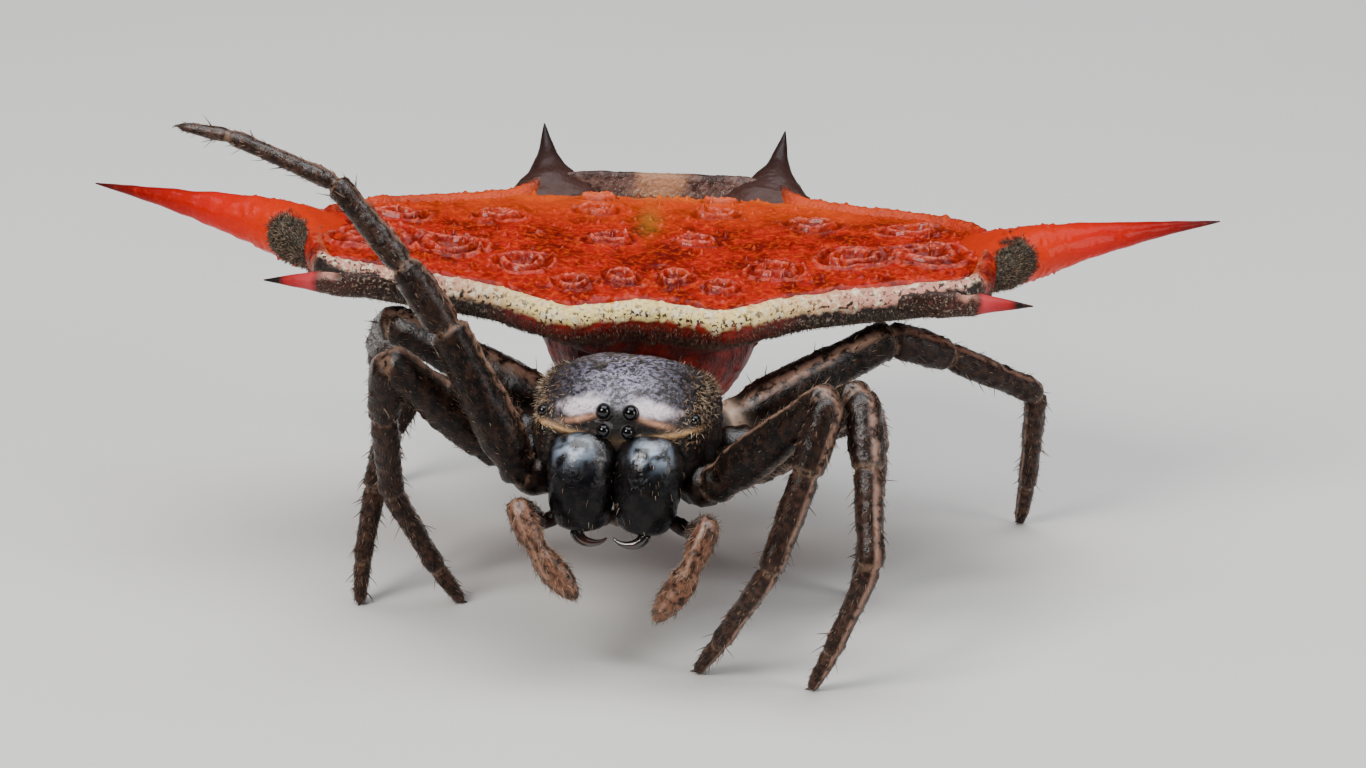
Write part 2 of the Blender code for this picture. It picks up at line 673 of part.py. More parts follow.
def build_spinnerets(material):
    """Ring of short cones under the belly, fused on a low collar."""
    centre = np.array([0.0, spinneret_middle_y, belly_bottom_z - seat_gap])
    rings = []
    for drop, radius in ((0.0, 0.50), (0.08, 0.56), (0.30, 0.50), (0.36, 0.30)):
        rings.append(ring_at(centre - np.array([0, 0, drop]), (0, 0, -1), (1, 0, 0), radius, radius, 16))
    collar = loft("spinnerets", rings, material)
    cones = []
    for turn in (45, 135, 225, 315):
        out = np.array([math.cos(math.radians(turn)), math.sin(math.radians(turn)), 0.0])
        root = centre + out * 0.22 - np.array([0, 0, 0.12])
        tip = centre + out * 0.26 - np.array([0, 0, spinneret_reach])
        stops = [root + (tip - root) * t for t in (0, 0.5, 0.85, 1.0)]
        cones.append(loft("cone", [ring_at(p, tip - root, (1, 0, 0), r, r, 8)
                                   for p, r in zip(stops, (0.17, 0.16, 0.12, 0.06))]))
    join_pieces(collar, cones)
    return collar


def settle_on_floor():
    """Moves every piece so that the whole stands on Z = 0, centred over the origin."""
    things = [thing for thing in bpy.data.objects if thing.type == "MESH"]
    corners = np.array([v.co for thing in things for v in thing.data.vertices])
    low, high = corners.min(axis=0), corners.max(axis=0)
    shift = np.array([-(low[0] + high[0]) / 2, -(low[1] + high[1]) / 2, -low[2]])
    for thing in things:
        places = np.array([v.co for v in thing.data.vertices]) + shift
        thing.data.vertices.foreach_set("co", places.astype(np.float32).ravel())
        thing.data.update()
        thing.data.shade_smooth()
        thing.data.set_sharp_from_angle(angle=math.radians(40))


def build():
    clear_scene()
    red_shell = make_material("red_shell", (0.62, 0.035, 0.012), 0.32)
    black_shell = make_material("black_shell", (0.018, 0.014, 0.013), 0.28)
    dark_leg = make_material("dark_leg", (0.035, 0.020, 0.014), 0.35)
    eye_black = make_material("eye_black", (0.004, 0.004, 0.005), 0.05)
    build_abdomen(red_shell)
    prosoma = build_prosoma(black_shell)
    join_pieces(prosoma, eye_mounds())
    cut_pieces(prosoma, coxa_cutters() + eye_cutters() + jaw_cutters())
    build_mouthparts(black_shell)
    build_legs(dark_leg)
    for side, word in ((1, "left"), (-1, "right")):
        build_chelicera("chelicera_" + word, side, black_shell)
        build_fang("fang_" + word, side, black_shell)
        build_palp("palp_" + word, palp_joints[word], dark_leg)
    build_eyes(eye_black)
    build_pedicel(black_shell)
    build_spinnerets(black_shell)
    settle_on_floor()


build()
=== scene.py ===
# Spiny orb weaver, dressed for a still render: a red shell with six spines, a black head, bristly legs.
# Shapes are worked out in the animal's own millimetres, with the waist near the middle, then moved
# on to the frame's place and turned into metres when the mesh is made.
import math

import bpy
import numpy as np
from mathutils import Matrix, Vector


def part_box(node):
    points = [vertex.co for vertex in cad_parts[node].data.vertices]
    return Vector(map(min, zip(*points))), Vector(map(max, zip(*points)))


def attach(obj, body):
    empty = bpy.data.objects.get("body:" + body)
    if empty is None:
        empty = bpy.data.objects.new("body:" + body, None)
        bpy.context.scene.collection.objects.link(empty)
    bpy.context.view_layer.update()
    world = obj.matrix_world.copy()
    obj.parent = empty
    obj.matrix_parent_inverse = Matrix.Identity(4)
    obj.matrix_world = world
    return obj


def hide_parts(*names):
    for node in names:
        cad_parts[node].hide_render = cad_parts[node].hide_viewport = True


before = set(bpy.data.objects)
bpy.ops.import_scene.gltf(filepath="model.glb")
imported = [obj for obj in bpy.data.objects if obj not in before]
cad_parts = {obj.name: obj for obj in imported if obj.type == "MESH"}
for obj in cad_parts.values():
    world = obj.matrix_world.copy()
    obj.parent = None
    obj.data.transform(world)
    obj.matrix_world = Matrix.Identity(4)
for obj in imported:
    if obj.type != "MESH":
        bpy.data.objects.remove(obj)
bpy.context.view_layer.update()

mm = 0.001
tau = 2 * math.pi
ahead, upright, across = np.array([0.0, 1.0, 0.0]), np.array([0.0, 0.0, 1.0]), np.array([1.0, 0.0, 0.0])
bothSides = (1, -1)               # the animal's left, its right

headTurn = math.radians(-5.5)     # the head looks a little to the animal's own right
waistPivot = np.array([0.0, -1.6, 0.0])


def turnedWay(ways):
    # the head's turn applied to directions, an array of any shape that ends in x, y, z
    x, y, z = np.moveaxis(np.asarray(ways, float), -1, 0)
    cos, sin = math.cos(headTurn), math.sin(headTurn)
    return np.stack([x * cos - y * sin, x * sin + y * cos, z], -1)


def turned(points):
    return waistPivot + turnedWay(np.asarray(points, float) - waistPivot)


# eyes on the animal's left before the head's turn: x, y, z, radius
eyePlaces = {
    "front_median": (0.20, -5.00, 4.47, 0.125),
    "back_median": (0.24, -4.93, 4.81, 0.135),
    "front_side": (1.20, -4.76, 4.40, 0.11),
    "back_side": (1.32, -4.64, 4.64, 0.11),
}
toFrame = np.mean(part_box("eye_front_median_left"), axis=0) / mm - turned(eyePlaces["front_median"][:3])


# general shapes

def unit(rows):
    rows = np.asarray(rows, float)
    return rows / (np.linalg.norm(rows, axis=-1, keepdims=True) + 1e-12)


def eased(low, high, value):
    # 0 below low, 1 above high, and an S-curve between
    t = np.clip((value - low) / (high - low), 0, 1)
    return t * t * (3 - 2 * t)


def bell(distance, width):
    return np.exp(-(distance / width) ** 2)


def arcSteps(count):
    # 0 to 1, closer together near both ends
    return 0.5 - 0.5 * np.cos(np.linspace(0, math.pi, count))


def circle(sides):
    return np.linspace(0, tau, sides, endpoint=False)


def throughStops(stops, values, at):
    # cubic curve through the values at the stops, its slope at each taken from its neighbours
    stops, values, at = (np.asarray(rows, float) for rows in (stops, values, at))
    slopes = np.gradient(values, stops, axis=0)
    k = np.clip(np.searchsorted(stops, at, side="right") - 1, 0, len(stops) - 2)
    span = stops[k + 1] - stops[k]
    t = (at - stops[k]) / span
    if values.ndim > 1:
        t, span = t[:, None], span[:, None]
    return ((2 * t ** 3 - 3 * t ** 2 + 1) * values[k] + (t ** 3 - 2 * t ** 2 + t) * span * slopes[k]
            + (3 * t ** 2 - 2 * t ** 3) * values[k + 1] + (t ** 3 - t ** 2) * span * slopes[k + 1])


def ripples(points, size, seed, waves=14):
    # smooth relief of about -1 to 1: sine waves roughly size apart, summed over seeded directions
    draw = np.random.default_rng(seed)
    ways = unit(draw.normal(size=(waves, 3))) * (tau / size) * draw.uniform(0.7, 1.4, (waves, 1))
    phases = draw.uniform(0, tau, waves)
    return np.sin(np.asarray(points) @ ways.T + phases).sum(-1) * 0.75 / math.sqrt(waves)


def grains(points, size, seed):
    # low rounded grains between flat ground: the crests of the ripples, squared
    return np.clip(ripples(points, size, seed), 0, None) ** 2


def ringsAlong(centres, sideways, wide, tall, sides):
    # rings square to a path: centre + wide cos(a) side + tall sin(a) up; wide and tall may vary by angle
    tangents = unit(np.gradient(centres, axis=0))
    side = unit(sideways - tangents * (tangents * sideways).sum(-1, keepdims=True))
    up = np.cross(tangents, side)
    turn = circle(sides)
    wide, tall = (np.asarray(r, float).reshape(len(centres), -1) for r in (wide, tall))
    return (centres[:, None] + (wide * np.cos(turn))[..., None] * side[:, None]
            + (tall * np.sin(turn))[..., None] * up[:, None])


def closedBody(rings, **marks):
    # quads between neighbouring rings and a fan to a middle point at each end; marks are values by point
    count, sides = rings.shape[:2]
    points = np.concatenate([rings.reshape(-1, 3), rings[0].mean(0)[None], rings[-1].mean(0)[None]])
    i, j = np.meshgrid(np.arange(count - 1), np.arange(sides), indexing="ij")
    k = (j + 1) % sides
    quads = np.stack([i * sides + j, i * sides + k, (i + 1) * sides + k, (i + 1) * sides + j], -1).reshape(-1, 4)
    j, k = np.arange(sides), (np.arange(sides) + 1) % sides
    last = (count - 1) * sides
    fans = np.concatenate([np.stack([np.full(sides, count * sides), k, j], -1),
                           np.stack([np.full(sides, count * sides + 1), last + j, last + k], -1)])
    marks = {key: np.broadcast_to(value, (count, sides)) for key, value in marks.items()}
    marks = {key: np.concatenate([v.ravel(), [v[0].mean(), v[-1].mean()]]) for key, v in marks.items()}
    return outward({"points": points, "quads": quads, "triangles": fans, "marks": marks})


def outward(body):
    # turns every face if the enclosed volume comes out negative
    quads = body["quads"]
    corners = np.concatenate([quads[:, :3], quads[:, [0, 2, 3]], body["triangles"]])
    a, b, c = np.moveaxis(body["points"][corners], 1, 0)
    if (a * np.cross(b, c)).sum() < 0:
        body["quads"], body["triangles"] = quads[:, ::-1], body["triangles"][:, ::-1]
    return body


def joined(bodies):
    # several closed bodies as the parts of one mesh; a mark that a body lacks is 0 there
    starts = np.cumsum([0] + [len(b["points"]) for b in bodies[:-1]])
    keys = dict.fromkeys(key for b in bodies for key in b["marks"])
    marks = {key: np.concatenate([b["marks"].get(key, np.zeros(len(b["points"]))) for b in bodies]) for key in keys}
    whole = {"points": np.concatenate([b["points"] for b in bodies]), "marks": marks}
    for kind in ("quads", "triangles"):
        whole[kind] = np.concatenate([b[kind] + s for b, s in zip(bodies, starts)])
    return whole


def makePiece(name, body, material, nodes=()):
    # one mesh object at the origin from a body's arrays, riding on the frame
    faces = [f for f in (body["quads"], body["triangles"]) if len(f)]
    corners = np.concatenate([f.ravel() for f in faces]).astype(np.int32)
    sizes = np.concatenate([np.full(len(f), f.shape[1]) for f in faces])
    mesh = bpy.data.meshes.new(name)
    mesh.vertices.add(len(body["points"]))
    mesh.vertices.foreach_set("co", ((body["points"] + toFrame) * mm).astype(np.float32).ravel())
    mesh.loops.add(len(corners))
    mesh.loops.foreach_set("vertex_index", corners)
    mesh.polygons.add(len(sizes))
    mesh.polygons.foreach_set("loop_start", np.concatenate([[0], np.cumsum(sizes)[:-1]]).astype(np.int32))
    mesh.update(calc_edges=True)
    mesh.validate()
    for key, values in body["marks"].items():
        mesh.attributes.new(key, "FLOAT", "POINT").data.foreach_set("value", values.astype(np.float32))
    if "unwrap" in body:
        layer = mesh.uv_layers.new(name="OFBake")
        layer.data.foreach_set("uv", body["unwrap"][corners].astype(np.float32).ravel())
    mesh.shade_smooth()
    mesh.materials.append(material)
    piece = bpy.data.objects.new(name, mesh)
    bpy.context.scene.collection.objects.link(piece)
    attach(piece, "root")
    if nodes:
        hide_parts(*nodes)
    print(f"{name}: {int((sizes - 2).sum())} triangles")
    return piece


def placed(name, data, right, up, back, place):
    # a camera or a light at a place in millimetres, looking against back
    thing = bpy.data.objects.new(name, data)
    columns = np.column_stack([right, up, back, place * mm])
    thing.matrix_world = Matrix([*columns.tolist(), (0, 0, 0, 1)])
    bpy.context.scene.collection.objects.link(thing)
    return thing


# camera, from the fit of the body to the picture

camera = {
    "azimuth": 2.0, "elevation": 20.0, "roll": 1.3,
    "distance": 150.0,               # mm
    "target": (0.0, 0.0, 4.0),       # this place in the animal shows at the pixel below
    "targetPixel": (647.1, 362.2),   # in the frame of 1366 x 768
    "pixelsPerMm": 54.57,
    "frame": (1366, 768),
    "sensor": 36.0, "clip": (0.005, 20.0),
}


def makeCamera():
    azimuth, elevation, roll = (math.radians(camera[key]) for key in ("azimuth", "elevation", "roll"))
    right = np.array([math.cos(azimuth), math.sin(azimuth), 0.0])
    view = np.array([-math.sin(azimuth) * math.cos(elevation), math.cos(azimuth) * math.cos(elevation),
                     -math.sin(elevation)])
    up = np.cross(right, view)
    right, up = right * math.cos(roll) + up * math.sin(roll), up * math.cos(roll) - right * math.sin(roll)
    wide, high = camera["frame"]
    offRight = (wide / 2 - camera["targetPixel"][0]) / camera["pixelsPerMm"]
    offUp = (camera["targetPixel"][1] - high / 2) / camera["pixelsPerMm"]
    place = np.array(camera["target"]) + toFrame - view * camera["distance"] + right * offRight + up * offUp
    data = bpy.data.cameras.new("camera")
    data.sensor_width = camera["sensor"]
    data.lens = camera["sensor"] * camera["distance"] * camera["pixelsPerMm"] / wide
    data.clip_start, data.clip_end = camera["clip"]
    bpy.context.scene.camera = placed("camera", data, right, up, -view, place)


makeCamera()
print("camera placed")


# materials

class Paint:
    # one material's nodes, on Object coordinates counted in millimetres; a value is a number, a color, the
    # name of a mark on the mesh, or another node's output

    def __init__(self, name):
        self.material = bpy.data.materials.new(name)
        self.material.use_nodes = True
        self.nodes, self.links = self.material.node_tree.nodes, self.material.node_tree.links
        self.shader = self.nodes["Principled BSDF"]
        scaled = self.node("Mapping", Vector=self.node("TexCoord").outputs["Object"])
        scaled.inputs["Scale"].default_value = (1000, 1000, 1000)
        self.place = scaled.outputs["Vector"]

    def give(self, socket, value):
        if isinstance(value, str):
            mark = self.node("Attribute")
            mark.attribute_name = value
            value = mark.outputs["Fac"]
        if isinstance(value, (int, float)):
            socket.default_value = value
        elif isinstance(value, tuple):
            socket.default_value = (*value, 1.0)
        else:
            self.links.new(value, socket)

    def node(self, kind, **values):
        node = self.nodes.new("ShaderNode" + kind)
        for key, value in values.items():
            self.give(node.inputs[key.replace("_", " ")], value)
        return node

    def noise(self, size, detail=3.0, roughness=0.55):
        return self.node("TexNoise", Scale=1 / size, Detail=detail, Roughness=roughness,
                         Vector=self.place).outputs["Fac"]

    def cells(self, size):
        # distance from the edges of irregular cells
        node = self.node("TexVoronoi")
        node.feature = "DISTANCE_TO_EDGE"
        self.give(node.inputs["Scale"], 1 / size)
        self.give(node.inputs["Vector"], self.place)
        return node.outputs["Distance"]

    def axis(self, letter):
        return self.node("SeparateXYZ", Vector=self.place).outputs[letter]

    def spread(self, value, low, high, to=(0.0, 1.0)):
        # value from low..high stretched to the given range, clamped, along an S-curve; low may be the larger
        node = self.node("MapRange", Value=value, From_Min=low, From_Max=high, To_Min=to[0], To_Max=to[1])
        node.interpolation_type = "SMOOTHSTEP"
        return node.outputs["Result"]

    def patches(self, size, low, high, detail=3.0, roughness=0.55, to=(0.0, 1.0)):
        return self.spread(self.noise(size, detail, roughness), low, high, to)

    def work(self, kind, first, second=0.0):
        node = self.node("Math")
        node.operation = kind
        self.give(node.inputs[0], first)
        self.give(node.inputs[1], second)
        return node.outputs[0]

    def plus(self, first, second):
        return self.work("ADD", first, second)

    def times(self, product, *factors):
        for factor in factors:
            product = self.work("MULTIPLY", product, factor)
        return product

    def wobble(self, size, share, detail=3.0):
        # noise about 0
        return self.times(self.work("SUBTRACT", self.noise(size, detail), 0.5), share)

    def layers(self, color, *layers):
        # each layer is an amount, the color that it brings, and a share of the amount where that isn't 1
        for amount, over, *share in layers:
            node = self.node("Mix")
            node.data_type = "RGBA"
            self.give(node.inputs["Factor"], self.times(amount, *share))
            self.give(node.inputs[6], color)
            self.give(node.inputs[7], over)
            color = node.outputs[2]
        return color

    def finish(self, color, roughness, bumps=(), **values):
        # bumps are (height value, depth in mm) pairs, one laid on the other
        for height, depth in bumps:
            below = {"Normal": values["Normal"]} if "Normal" in values else {}
            bump = self.node("Bump", Height=height, Distance=depth * mm, Strength=1.0, **below)
            values["Normal"] = bump.outputs["Normal"]
        for key, value in {"Base_Color": color, "Roughness": roughness, **values}.items():
            self.give(self.shader.inputs[key.replace("_", " ")], value)
        return self.material


deepRed, brightRed, darkRed = (0.13, 0.002, 0.0015), (0.40, 0.010, 0.003), (0.11, 0.003, 0.002)
orange, amber, peach = (0.62, 0.060, 0.004), (0.78, 0.20, 0.012), (0.70, 0.24, 0.11)
pitBrown, pinkGlint = (0.030, 0.006, 0.003), (0.80, 0.19, 0.13)
cream, ivory, pinkCream = (0.95, 0.74, 0.29), (0.92, 0.78, 0.54), (0.62, 0.28, 0.21)
maroon, tan, bone = (0.110, 0.007, 0.004), (0.36, 0.21, 0.12), (0.50, 0.40, 0.31)


def redFace(paint):
    # deep red cells netted with orange, more orange to the rear
    net = paint.spread(paint.cells(0.19), 0.0, 0.26, (1.0, 0.0))
    net = paint.times(net, paint.patches(0.10, 0.42, 0.62, 4.0, 0.65))
    rear = paint.spread(paint.plus(paint.axis("Y"), paint.times(paint.noise(0.8), 1.6)), 2.9, 5.4)
    return paint.layers(deepRed, (paint.patches(0.55, 0.36, 0.60), brightRed), (net, orange, 0.75),
                        (paint.patches(0.13, 0.52, 0.64, 4.0, 0.7), darkRed, 0.6), (rear, orange, 0.9))


def shellRedMaterial():
    paint = Paint("red_shell_face")
    far = paint.spread(paint.plus(paint.axis("Y"), paint.noise(0.4)), 4.3, 5.4)
    glints = paint.times("ring", paint.patches(0.09, 0.42, 0.62, to=(0.05, 0.75)))
    color = paint.layers(redFace(paint), (far, amber, 0.55), ("midline", (0.30, 0.20, 0.02), 0.6),
                         # moat: painted shade in the hollows round each sigillum
                         (glints, pinkGlint), ("moatShade", (0.10, 0.003, 0.002)), ("pit", pitBrown),
                         # groove: painted shade along the crease at the face's border
                         ("groove", (0.09, 0.003, 0.002)), ("rearBand", (0.090, 0.034, 0.022)))
    return paint.finish(color, paint.patches(0.25, 0.3, 0.7, to=(0.36, 0.55)),
                        [(paint.cells(0.19), 0.030), (paint.noise(0.06, 4.0), 0.014)],
                        Coat_Weight=0.22, Coat_Roughness=0.08, Specular_IOR_Level=0.10)


def shellEdgeMaterial():
    # band runs 0 to 1 over the rim's bead, 1 to 2 over the wall below and 2 to 3 over the belly
    paint = Paint("shell_edge")
    sideways = paint.work("ABSOLUTE", paint.axis("X"))
    wavy = paint.plus("band", paint.wobble(0.30, 0.34, 4.0))
    wavy = paint.plus(wavy, paint.spread(sideways, 4.4, 6.0, (0.0, 0.22)))
    red = redFace(paint)
    rusty = paint.times(paint.patches(0.09, 0.50, 0.62, 4.0, 0.7), paint.spread(wavy, 0.50, 0.20))
    specked = paint.times(paint.patches(0.075, 0.53, 0.60), paint.spread(wavy, 0.26, 0.60))
    pale = paint.layers(cream, (paint.spread(sideways, 1.4, 4.2), pinkCream),
                        (paint.patches(0.16, 0.48, 0.62, 4.0, 0.7), ivory),
                        (rusty, (0.74, 0.15, 0.04)), (specked, (0.035, 0.016, 0.010)))
    whiteSpecks = paint.times(paint.patches(0.085, 0.54, 0.64, 4.0, 0.7), paint.patches(0.5, 0.36, 0.60))
    mottled = paint.layers((0.016, 0.009, 0.007), (whiteSpecks, bone, 0.70),
                           (paint.spread("band", 1.02, 1.25), (0.022, 0.009, 0.006)))
    reddish = paint.layers(maroon, (paint.patches(0.30, 0.42, 0.66, 4.0), (0.28, 0.014, 0.007)))
    wall = paint.layers(mottled, ("frontWall", reddish))
    cornerPeach = paint.times(paint.spread(paint.axis("Y"), 2.2, 0.9), paint.spread(wavy, 0.60, 0.20),
                              paint.patches(0.14, 0.40, 0.62, 4.0, to=(0.2, 0.9)))
    corner = paint.times("rearSide", paint.spread(paint.axis("Y"), 1.9, 1.3), paint.spread("band", 1.15, 1.0))
    lower = paint.times(paint.spread(wavy, 0.58, 0.70), paint.spread(corner, 1.0, 0.0, (0.12, 1.0)))
    centre = paint.spread(paint.plus(sideways, paint.times(paint.noise(0.3), 0.8)), 1.1, 0.5)
    dusky = paint.layers((0.045, 0.022, 0.018), (paint.patches(0.22, 0.40, 0.64, 4.0), (0.15, 0.085, 0.070)),
                         (centre, (0.40, 0.20, 0.11)))
    color = paint.layers(red, (paint.spread(wavy, 0.10, 0.20), pale),
                         ("rearSide", paint.layers(red, (cornerPeach, peach))), (lower, wall), ("rearMiddle", dusky))
    return paint.finish(color, paint.spread("rearMiddle", 0.0, 1.0, (0.46, 0.22)),
                        [(paint.cells(0.13), 0.026), (paint.noise(0.06, 4.0), 0.020)], Specular_IOR_Level=0.28)


def spineMaterial(name, colors, streakColor, gloss=0.36, shine=0.08):
    # colors are (place along the spine, color) stops; roots carry grains that show as specks
    paint = Paint(name)
    ramp = paint.node("ValToRGB", Fac=paint.plus("along", paint.wobble(0.25, 0.10)))
    for at, color in colors[1:-1]:
        ramp.color_ramp.elements.new(at)
    for stop, (at, color) in zip(ramp.color_ramp.elements, colors):
        stop.position, stop.color = at, (*color, 1.0)
    specks = paint.times(paint.patches(0.055, 0.55, 0.66, 4.0, 0.7, (0.0, 0.6)), "speckled")
    furred = paint.layers((0.014, 0.013, 0.009), (paint.patches(0.09, 0.46, 0.62, 4.0, 0.7), (0.085, 0.075, 0.050)))
    color = paint.layers(ramp.outputs["Color"], (paint.patches(0.12, 0.50, 0.72, 4.0, 0.6), streakColor, 0.30),
                         (specks, bone), (paint.times("speckled", "upper"), pinkCream), ("collar", furred))
    return paint.finish(color, paint.patches(0.2, 0.3, 0.7, to=(gloss * 0.8, gloss * 1.3)),
                        [(paint.noise(0.10, 4.0), 0.020), (paint.noise(0.03), 0.006)],
                        Coat_Weight=0.12, Coat_Roughness=0.10, Specular_IOR_Level=shine)


def headMaterial():
    # grey-black dome, smoother on top with a silvery blue patch that is partly its own colour and partly painted
    # highlight from above, rough and brown-black at the sides
    paint = Paint("head_shell")
    rough = paint.layers((0.006, 0.005, 0.006), (paint.patches(0.12, 0.46, 0.66, 5.0, 0.7), (0.040, 0.024, 0.017)))
    # silvery blue top patch: partly the shell's own colour, partly painted highlight
    silverAndSheen = paint.layers((0.014, 0.014, 0.019), (paint.patches(0.075, 0.44, 0.58, 4.0, 0.75), (0.34, 0.31, 0.43)))
    color = paint.layers(rough, (paint.times("polished", paint.patches(0.30, 0.32, 0.52)), silverAndSheen),
                         ("socket", (0.004, 0.003, 0.003)),
                         # cheek: pale lilac painted highlight on the bulge over each side of the eyes
                         (paint.times("cheek", paint.patches(0.05, 0.30, 0.55, to=(0.55, 0.95))), (0.80, 0.70, 0.76)),
                         ("brow", (0.52, 0.27, 0.17)), ("clypeus", (0.40, 0.24, 0.11)),
                         (paint.times(paint.patches(0.07, 0.56, 0.64), "edge"), (0.30, 0.17, 0.09)))
    uneven = paint.plus("polished", paint.times(paint.noise(0.2), 0.5))
    return paint.finish(color, paint.spread(uneven, 0.1, 1.2, (0.52, 0.26)),
                        [(paint.cells(0.09), 0.022), (paint.noise(0.04, 4.0), 0.016)], Coat_Weight=0.10,
                        Coat_Roughness=0.10, Specular_IOR_Level=paint.spread("polished", 0.0, 1.0, (0.18, 0.75)))


def legMaterial():
    # brown-black, with pale lengthwise edges that are partly pale hairs and partly painted rim light, and pale rings
    # where the segments meet; its upper side shines most
    paint = Paint("leg_shell")
    dark = paint.layers((0.005, 0.0035, 0.003), (paint.patches(0.16, 0.42, 0.66, 4.0, 0.6), (0.026, 0.012, 0.008)))
    brown = paint.layers((0.016, 0.008, 0.006), (paint.patches(0.14, 0.40, 0.66, 4.0, 0.6), (0.075, 0.036, 0.024)))
    warm = paint.times(paint.spread("tone", 1.0, 1.3), paint.patches(0.12, 0.36, 0.62, 4.0, 0.6))
    color = paint.layers(dark, ("tone", brown), (warm, (0.190, 0.085, 0.050)),
                         # pale lengthwise edges: partly pale hairs, partly painted rim light
                         (paint.times("streak", paint.patches(0.20, 0.36, 0.56, 4.0)), (0.34, 0.19, 0.135), 0.85),
                         (paint.times("joint", paint.patches(0.12, 0.38, 0.62)), (0.24, 0.14, 0.09)),
                         ("membrane", (0.80, 0.58, 0.44)))
    return paint.finish(color, paint.patches(0.12, 0.3, 0.7, to=(0.14, 0.28)),
                        [(paint.noise(0.09, 4.0, 0.6), 0.020), (paint.noise(0.03), 0.006)],
                        Specular_IOR_Level=paint.spread("skyward", 0.0, 1.0, (0.12, 0.65)),
                        Sheen_Weight=0.05, Sheen_Roughness=0.35, Sheen_Tint=(0.75, 0.52, 0.34))


def glossMaterial(name, first, second, gloss, depth, shine=None):
    # without a shine, the body's skyward mark keeps it to the upper side, and a gleam is painted on
    paint = Paint(name)
    color = paint.layers(first, (paint.patches(0.22, 0.42, 0.64, 4.0), second))
    grain, values = 0.08, {"Specular_IOR_Level": shine, "Coat_Weight": 0.05, "Coat_Roughness": 0.08}
    if shine is None:
        color = paint.layers(color, ("gleam", (0.34, 0.42, 0.54)))
        grain, values = 0.10, {"Specular_IOR_Level": paint.spread("skyward", 0.0, 1.0, (0.12, 1.0))}
    return paint.finish(color, paint.patches(0.15, 0.3, 0.7, to=(gloss * 0.8, gloss * 1.4)),
                        [(paint.noise(grain, 4.0, 0.6), depth)], **values)


def hairMaterial(name, dark, pale):
    # each hair is darker or paler by its own mark, and a little paler to the tip
    paint = Paint(name)
    color = paint.layers(dark, ("pale", pale), ("tip", tan, 0.35))
    return paint.finish(color, paint.patches(0.5, 0.3, 0.7, to=(0.30, 0.45)))


def eyeMaterial():
    paint = Paint("eye_lens")
    color = paint.layers((0.020, 0.014, 0.012), ("lens", (0.002, 0.002, 0.003)))
    return paint.finish(color, paint.spread("lens", 0.0, 1.0, (0.5, 0.06)), Specular_IOR_Level=0.45)


# abdomen: outline, height and relief

shell = {
    "halfWidth": 6.65, "front": -2.22, "back": 5.20, "middle": np.array([0.0, 1.5]),
    "crown": 0.20, "frontZ": 5.62, "sideRise": 0.38, "backRise": 0.25, "rearDip": 0.26,
    "bellyMiddle": np.array([0.0, 1.20]), "bellyHalf": np.array([2.00, 2.25]), "shoulderZ": 4.45, "bottomZ": 2.75,
    "rimColumns": 560, "beadRows": 30, "wallRows": 34, "bellyRows": 26,
    "faceColumns": 470, "faceRows": 190, "faceInset": 0.30,
}
# the bead along the edge, inside to outside: place on the band, inset and drop from the outline
beadShape = [(0.00, 0.42, 0.10), (0.12, 0.33, 0.015), (0.26, 0.22, -0.055), (0.42, 0.08, -0.01), (0.56, 0.0, 0.13),
             (0.70, 0.0, 0.29), (0.84, 0.02, 0.44), (1.00, 0.12, 0.58)]
# sigilla on one half, the rest by mirror: x, y, half length, half width, strength of the outer arc
sigilla = [(0.48, -0.40, 0.25, 0.22, 0.3), (1.36, -0.72, 0.26, 0.23, 0.5), (2.32, 0.10, 0.34, 0.26, 0.9),
           (3.70, 0.75, 0.42, 0.30, 1.0), (5.05, 0.95, 0.50, 0.34, 1.0), (0.80, 1.52, 0.34, 0.22, 0.3),
           (1.10, 3.12, 0.33, 0.20, 0.2), (1.15, 3.95, 0.28, 0.17, 0.2), (2.90, 2.60, 0.36, 0.22, 0.4),
           (4.75, 2.35, 0.42, 0.23, 0.5)]


def outlineCurve(count):
    # closed smooth curve through the plan's corners, evenly spaced along its length
    half = [(0.0, shell["front"] + 0.67), (0.72, shell["front"] + 0.40), (1.5, shell["front"] + 0.20),
            (3.0, -1.15), (5.0, -0.72), (5.95, -0.55), (6.28, 0.20), (6.36, 1.20), (6.15, 2.50),
            (5.2, 3.40), (3.6, 4.00), (2.65, 4.45), (2.3, 4.95), (1.2, shell["back"]), (0.0, shell["back"])]
    corners = np.array(half + [(-x, y) for x, y in half[-2:0:-1]])
    at = np.linspace(0, len(corners), 6000, endpoint=False)
    i, t = at.astype(int), (at % 1)[:, None]
    p0, p1, p2, p3 = (corners[(i + k) % len(corners)] for k in (-1, 0, 1, 2))
    curve = 0.5 * (2 * p1 + (p2 - p0) * t + (2 * p0 - 5 * p1 + 4 * p2 - p3) * t ** 2
                   + (3 * p1 - p0 - 3 * p2 + p3) * t ** 3)
    closed = np.concatenate([curve, curve[:1]])
    marks = np.concatenate([[0], np.cumsum(np.linalg.norm(np.diff(closed, axis=0), axis=1))])
    even = np.linspace(0, marks[-1], count, endpoint=False)
    return np.column_stack([np.interp(even, marks, closed[:, axis]) for axis in (0, 1)])


def inwardFrom(outline):
    # unit vectors in plan, square to the outline and pointing inside
    tangent = unit(np.roll(outline, -2, axis=0) - np.roll(outline, 2, axis=0))
    return np.column_stack([-tangent[:, 1], tangent[:, 0]])


edgeCurve = outlineCurve(2400)
edgeSpokes = edgeCurve - shell["middle"]
edgeTurns = np.arctan2(edgeSpokes[:, 1], edgeSpokes[:, 0])
edgeOrder = np.argsort(edgeTurns)
edgeTurns, edgeReach = edgeTurns[edgeOrder], np.linalg.norm(edgeSpokes, axis=1)[edgeOrder]


def edgeHeight(x, y):
    side = np.clip(np.abs(x) / shell["halfWidth"], 0, 1) ** 2
    back = np.clip((y - shell["middle"][1]) / (shell["back"] - shell["middle"][1]), 0, 1) ** 2
    return shell["frontZ"] + shell["sideRise"] * side + shell["backRise"] * back * (1 - side)


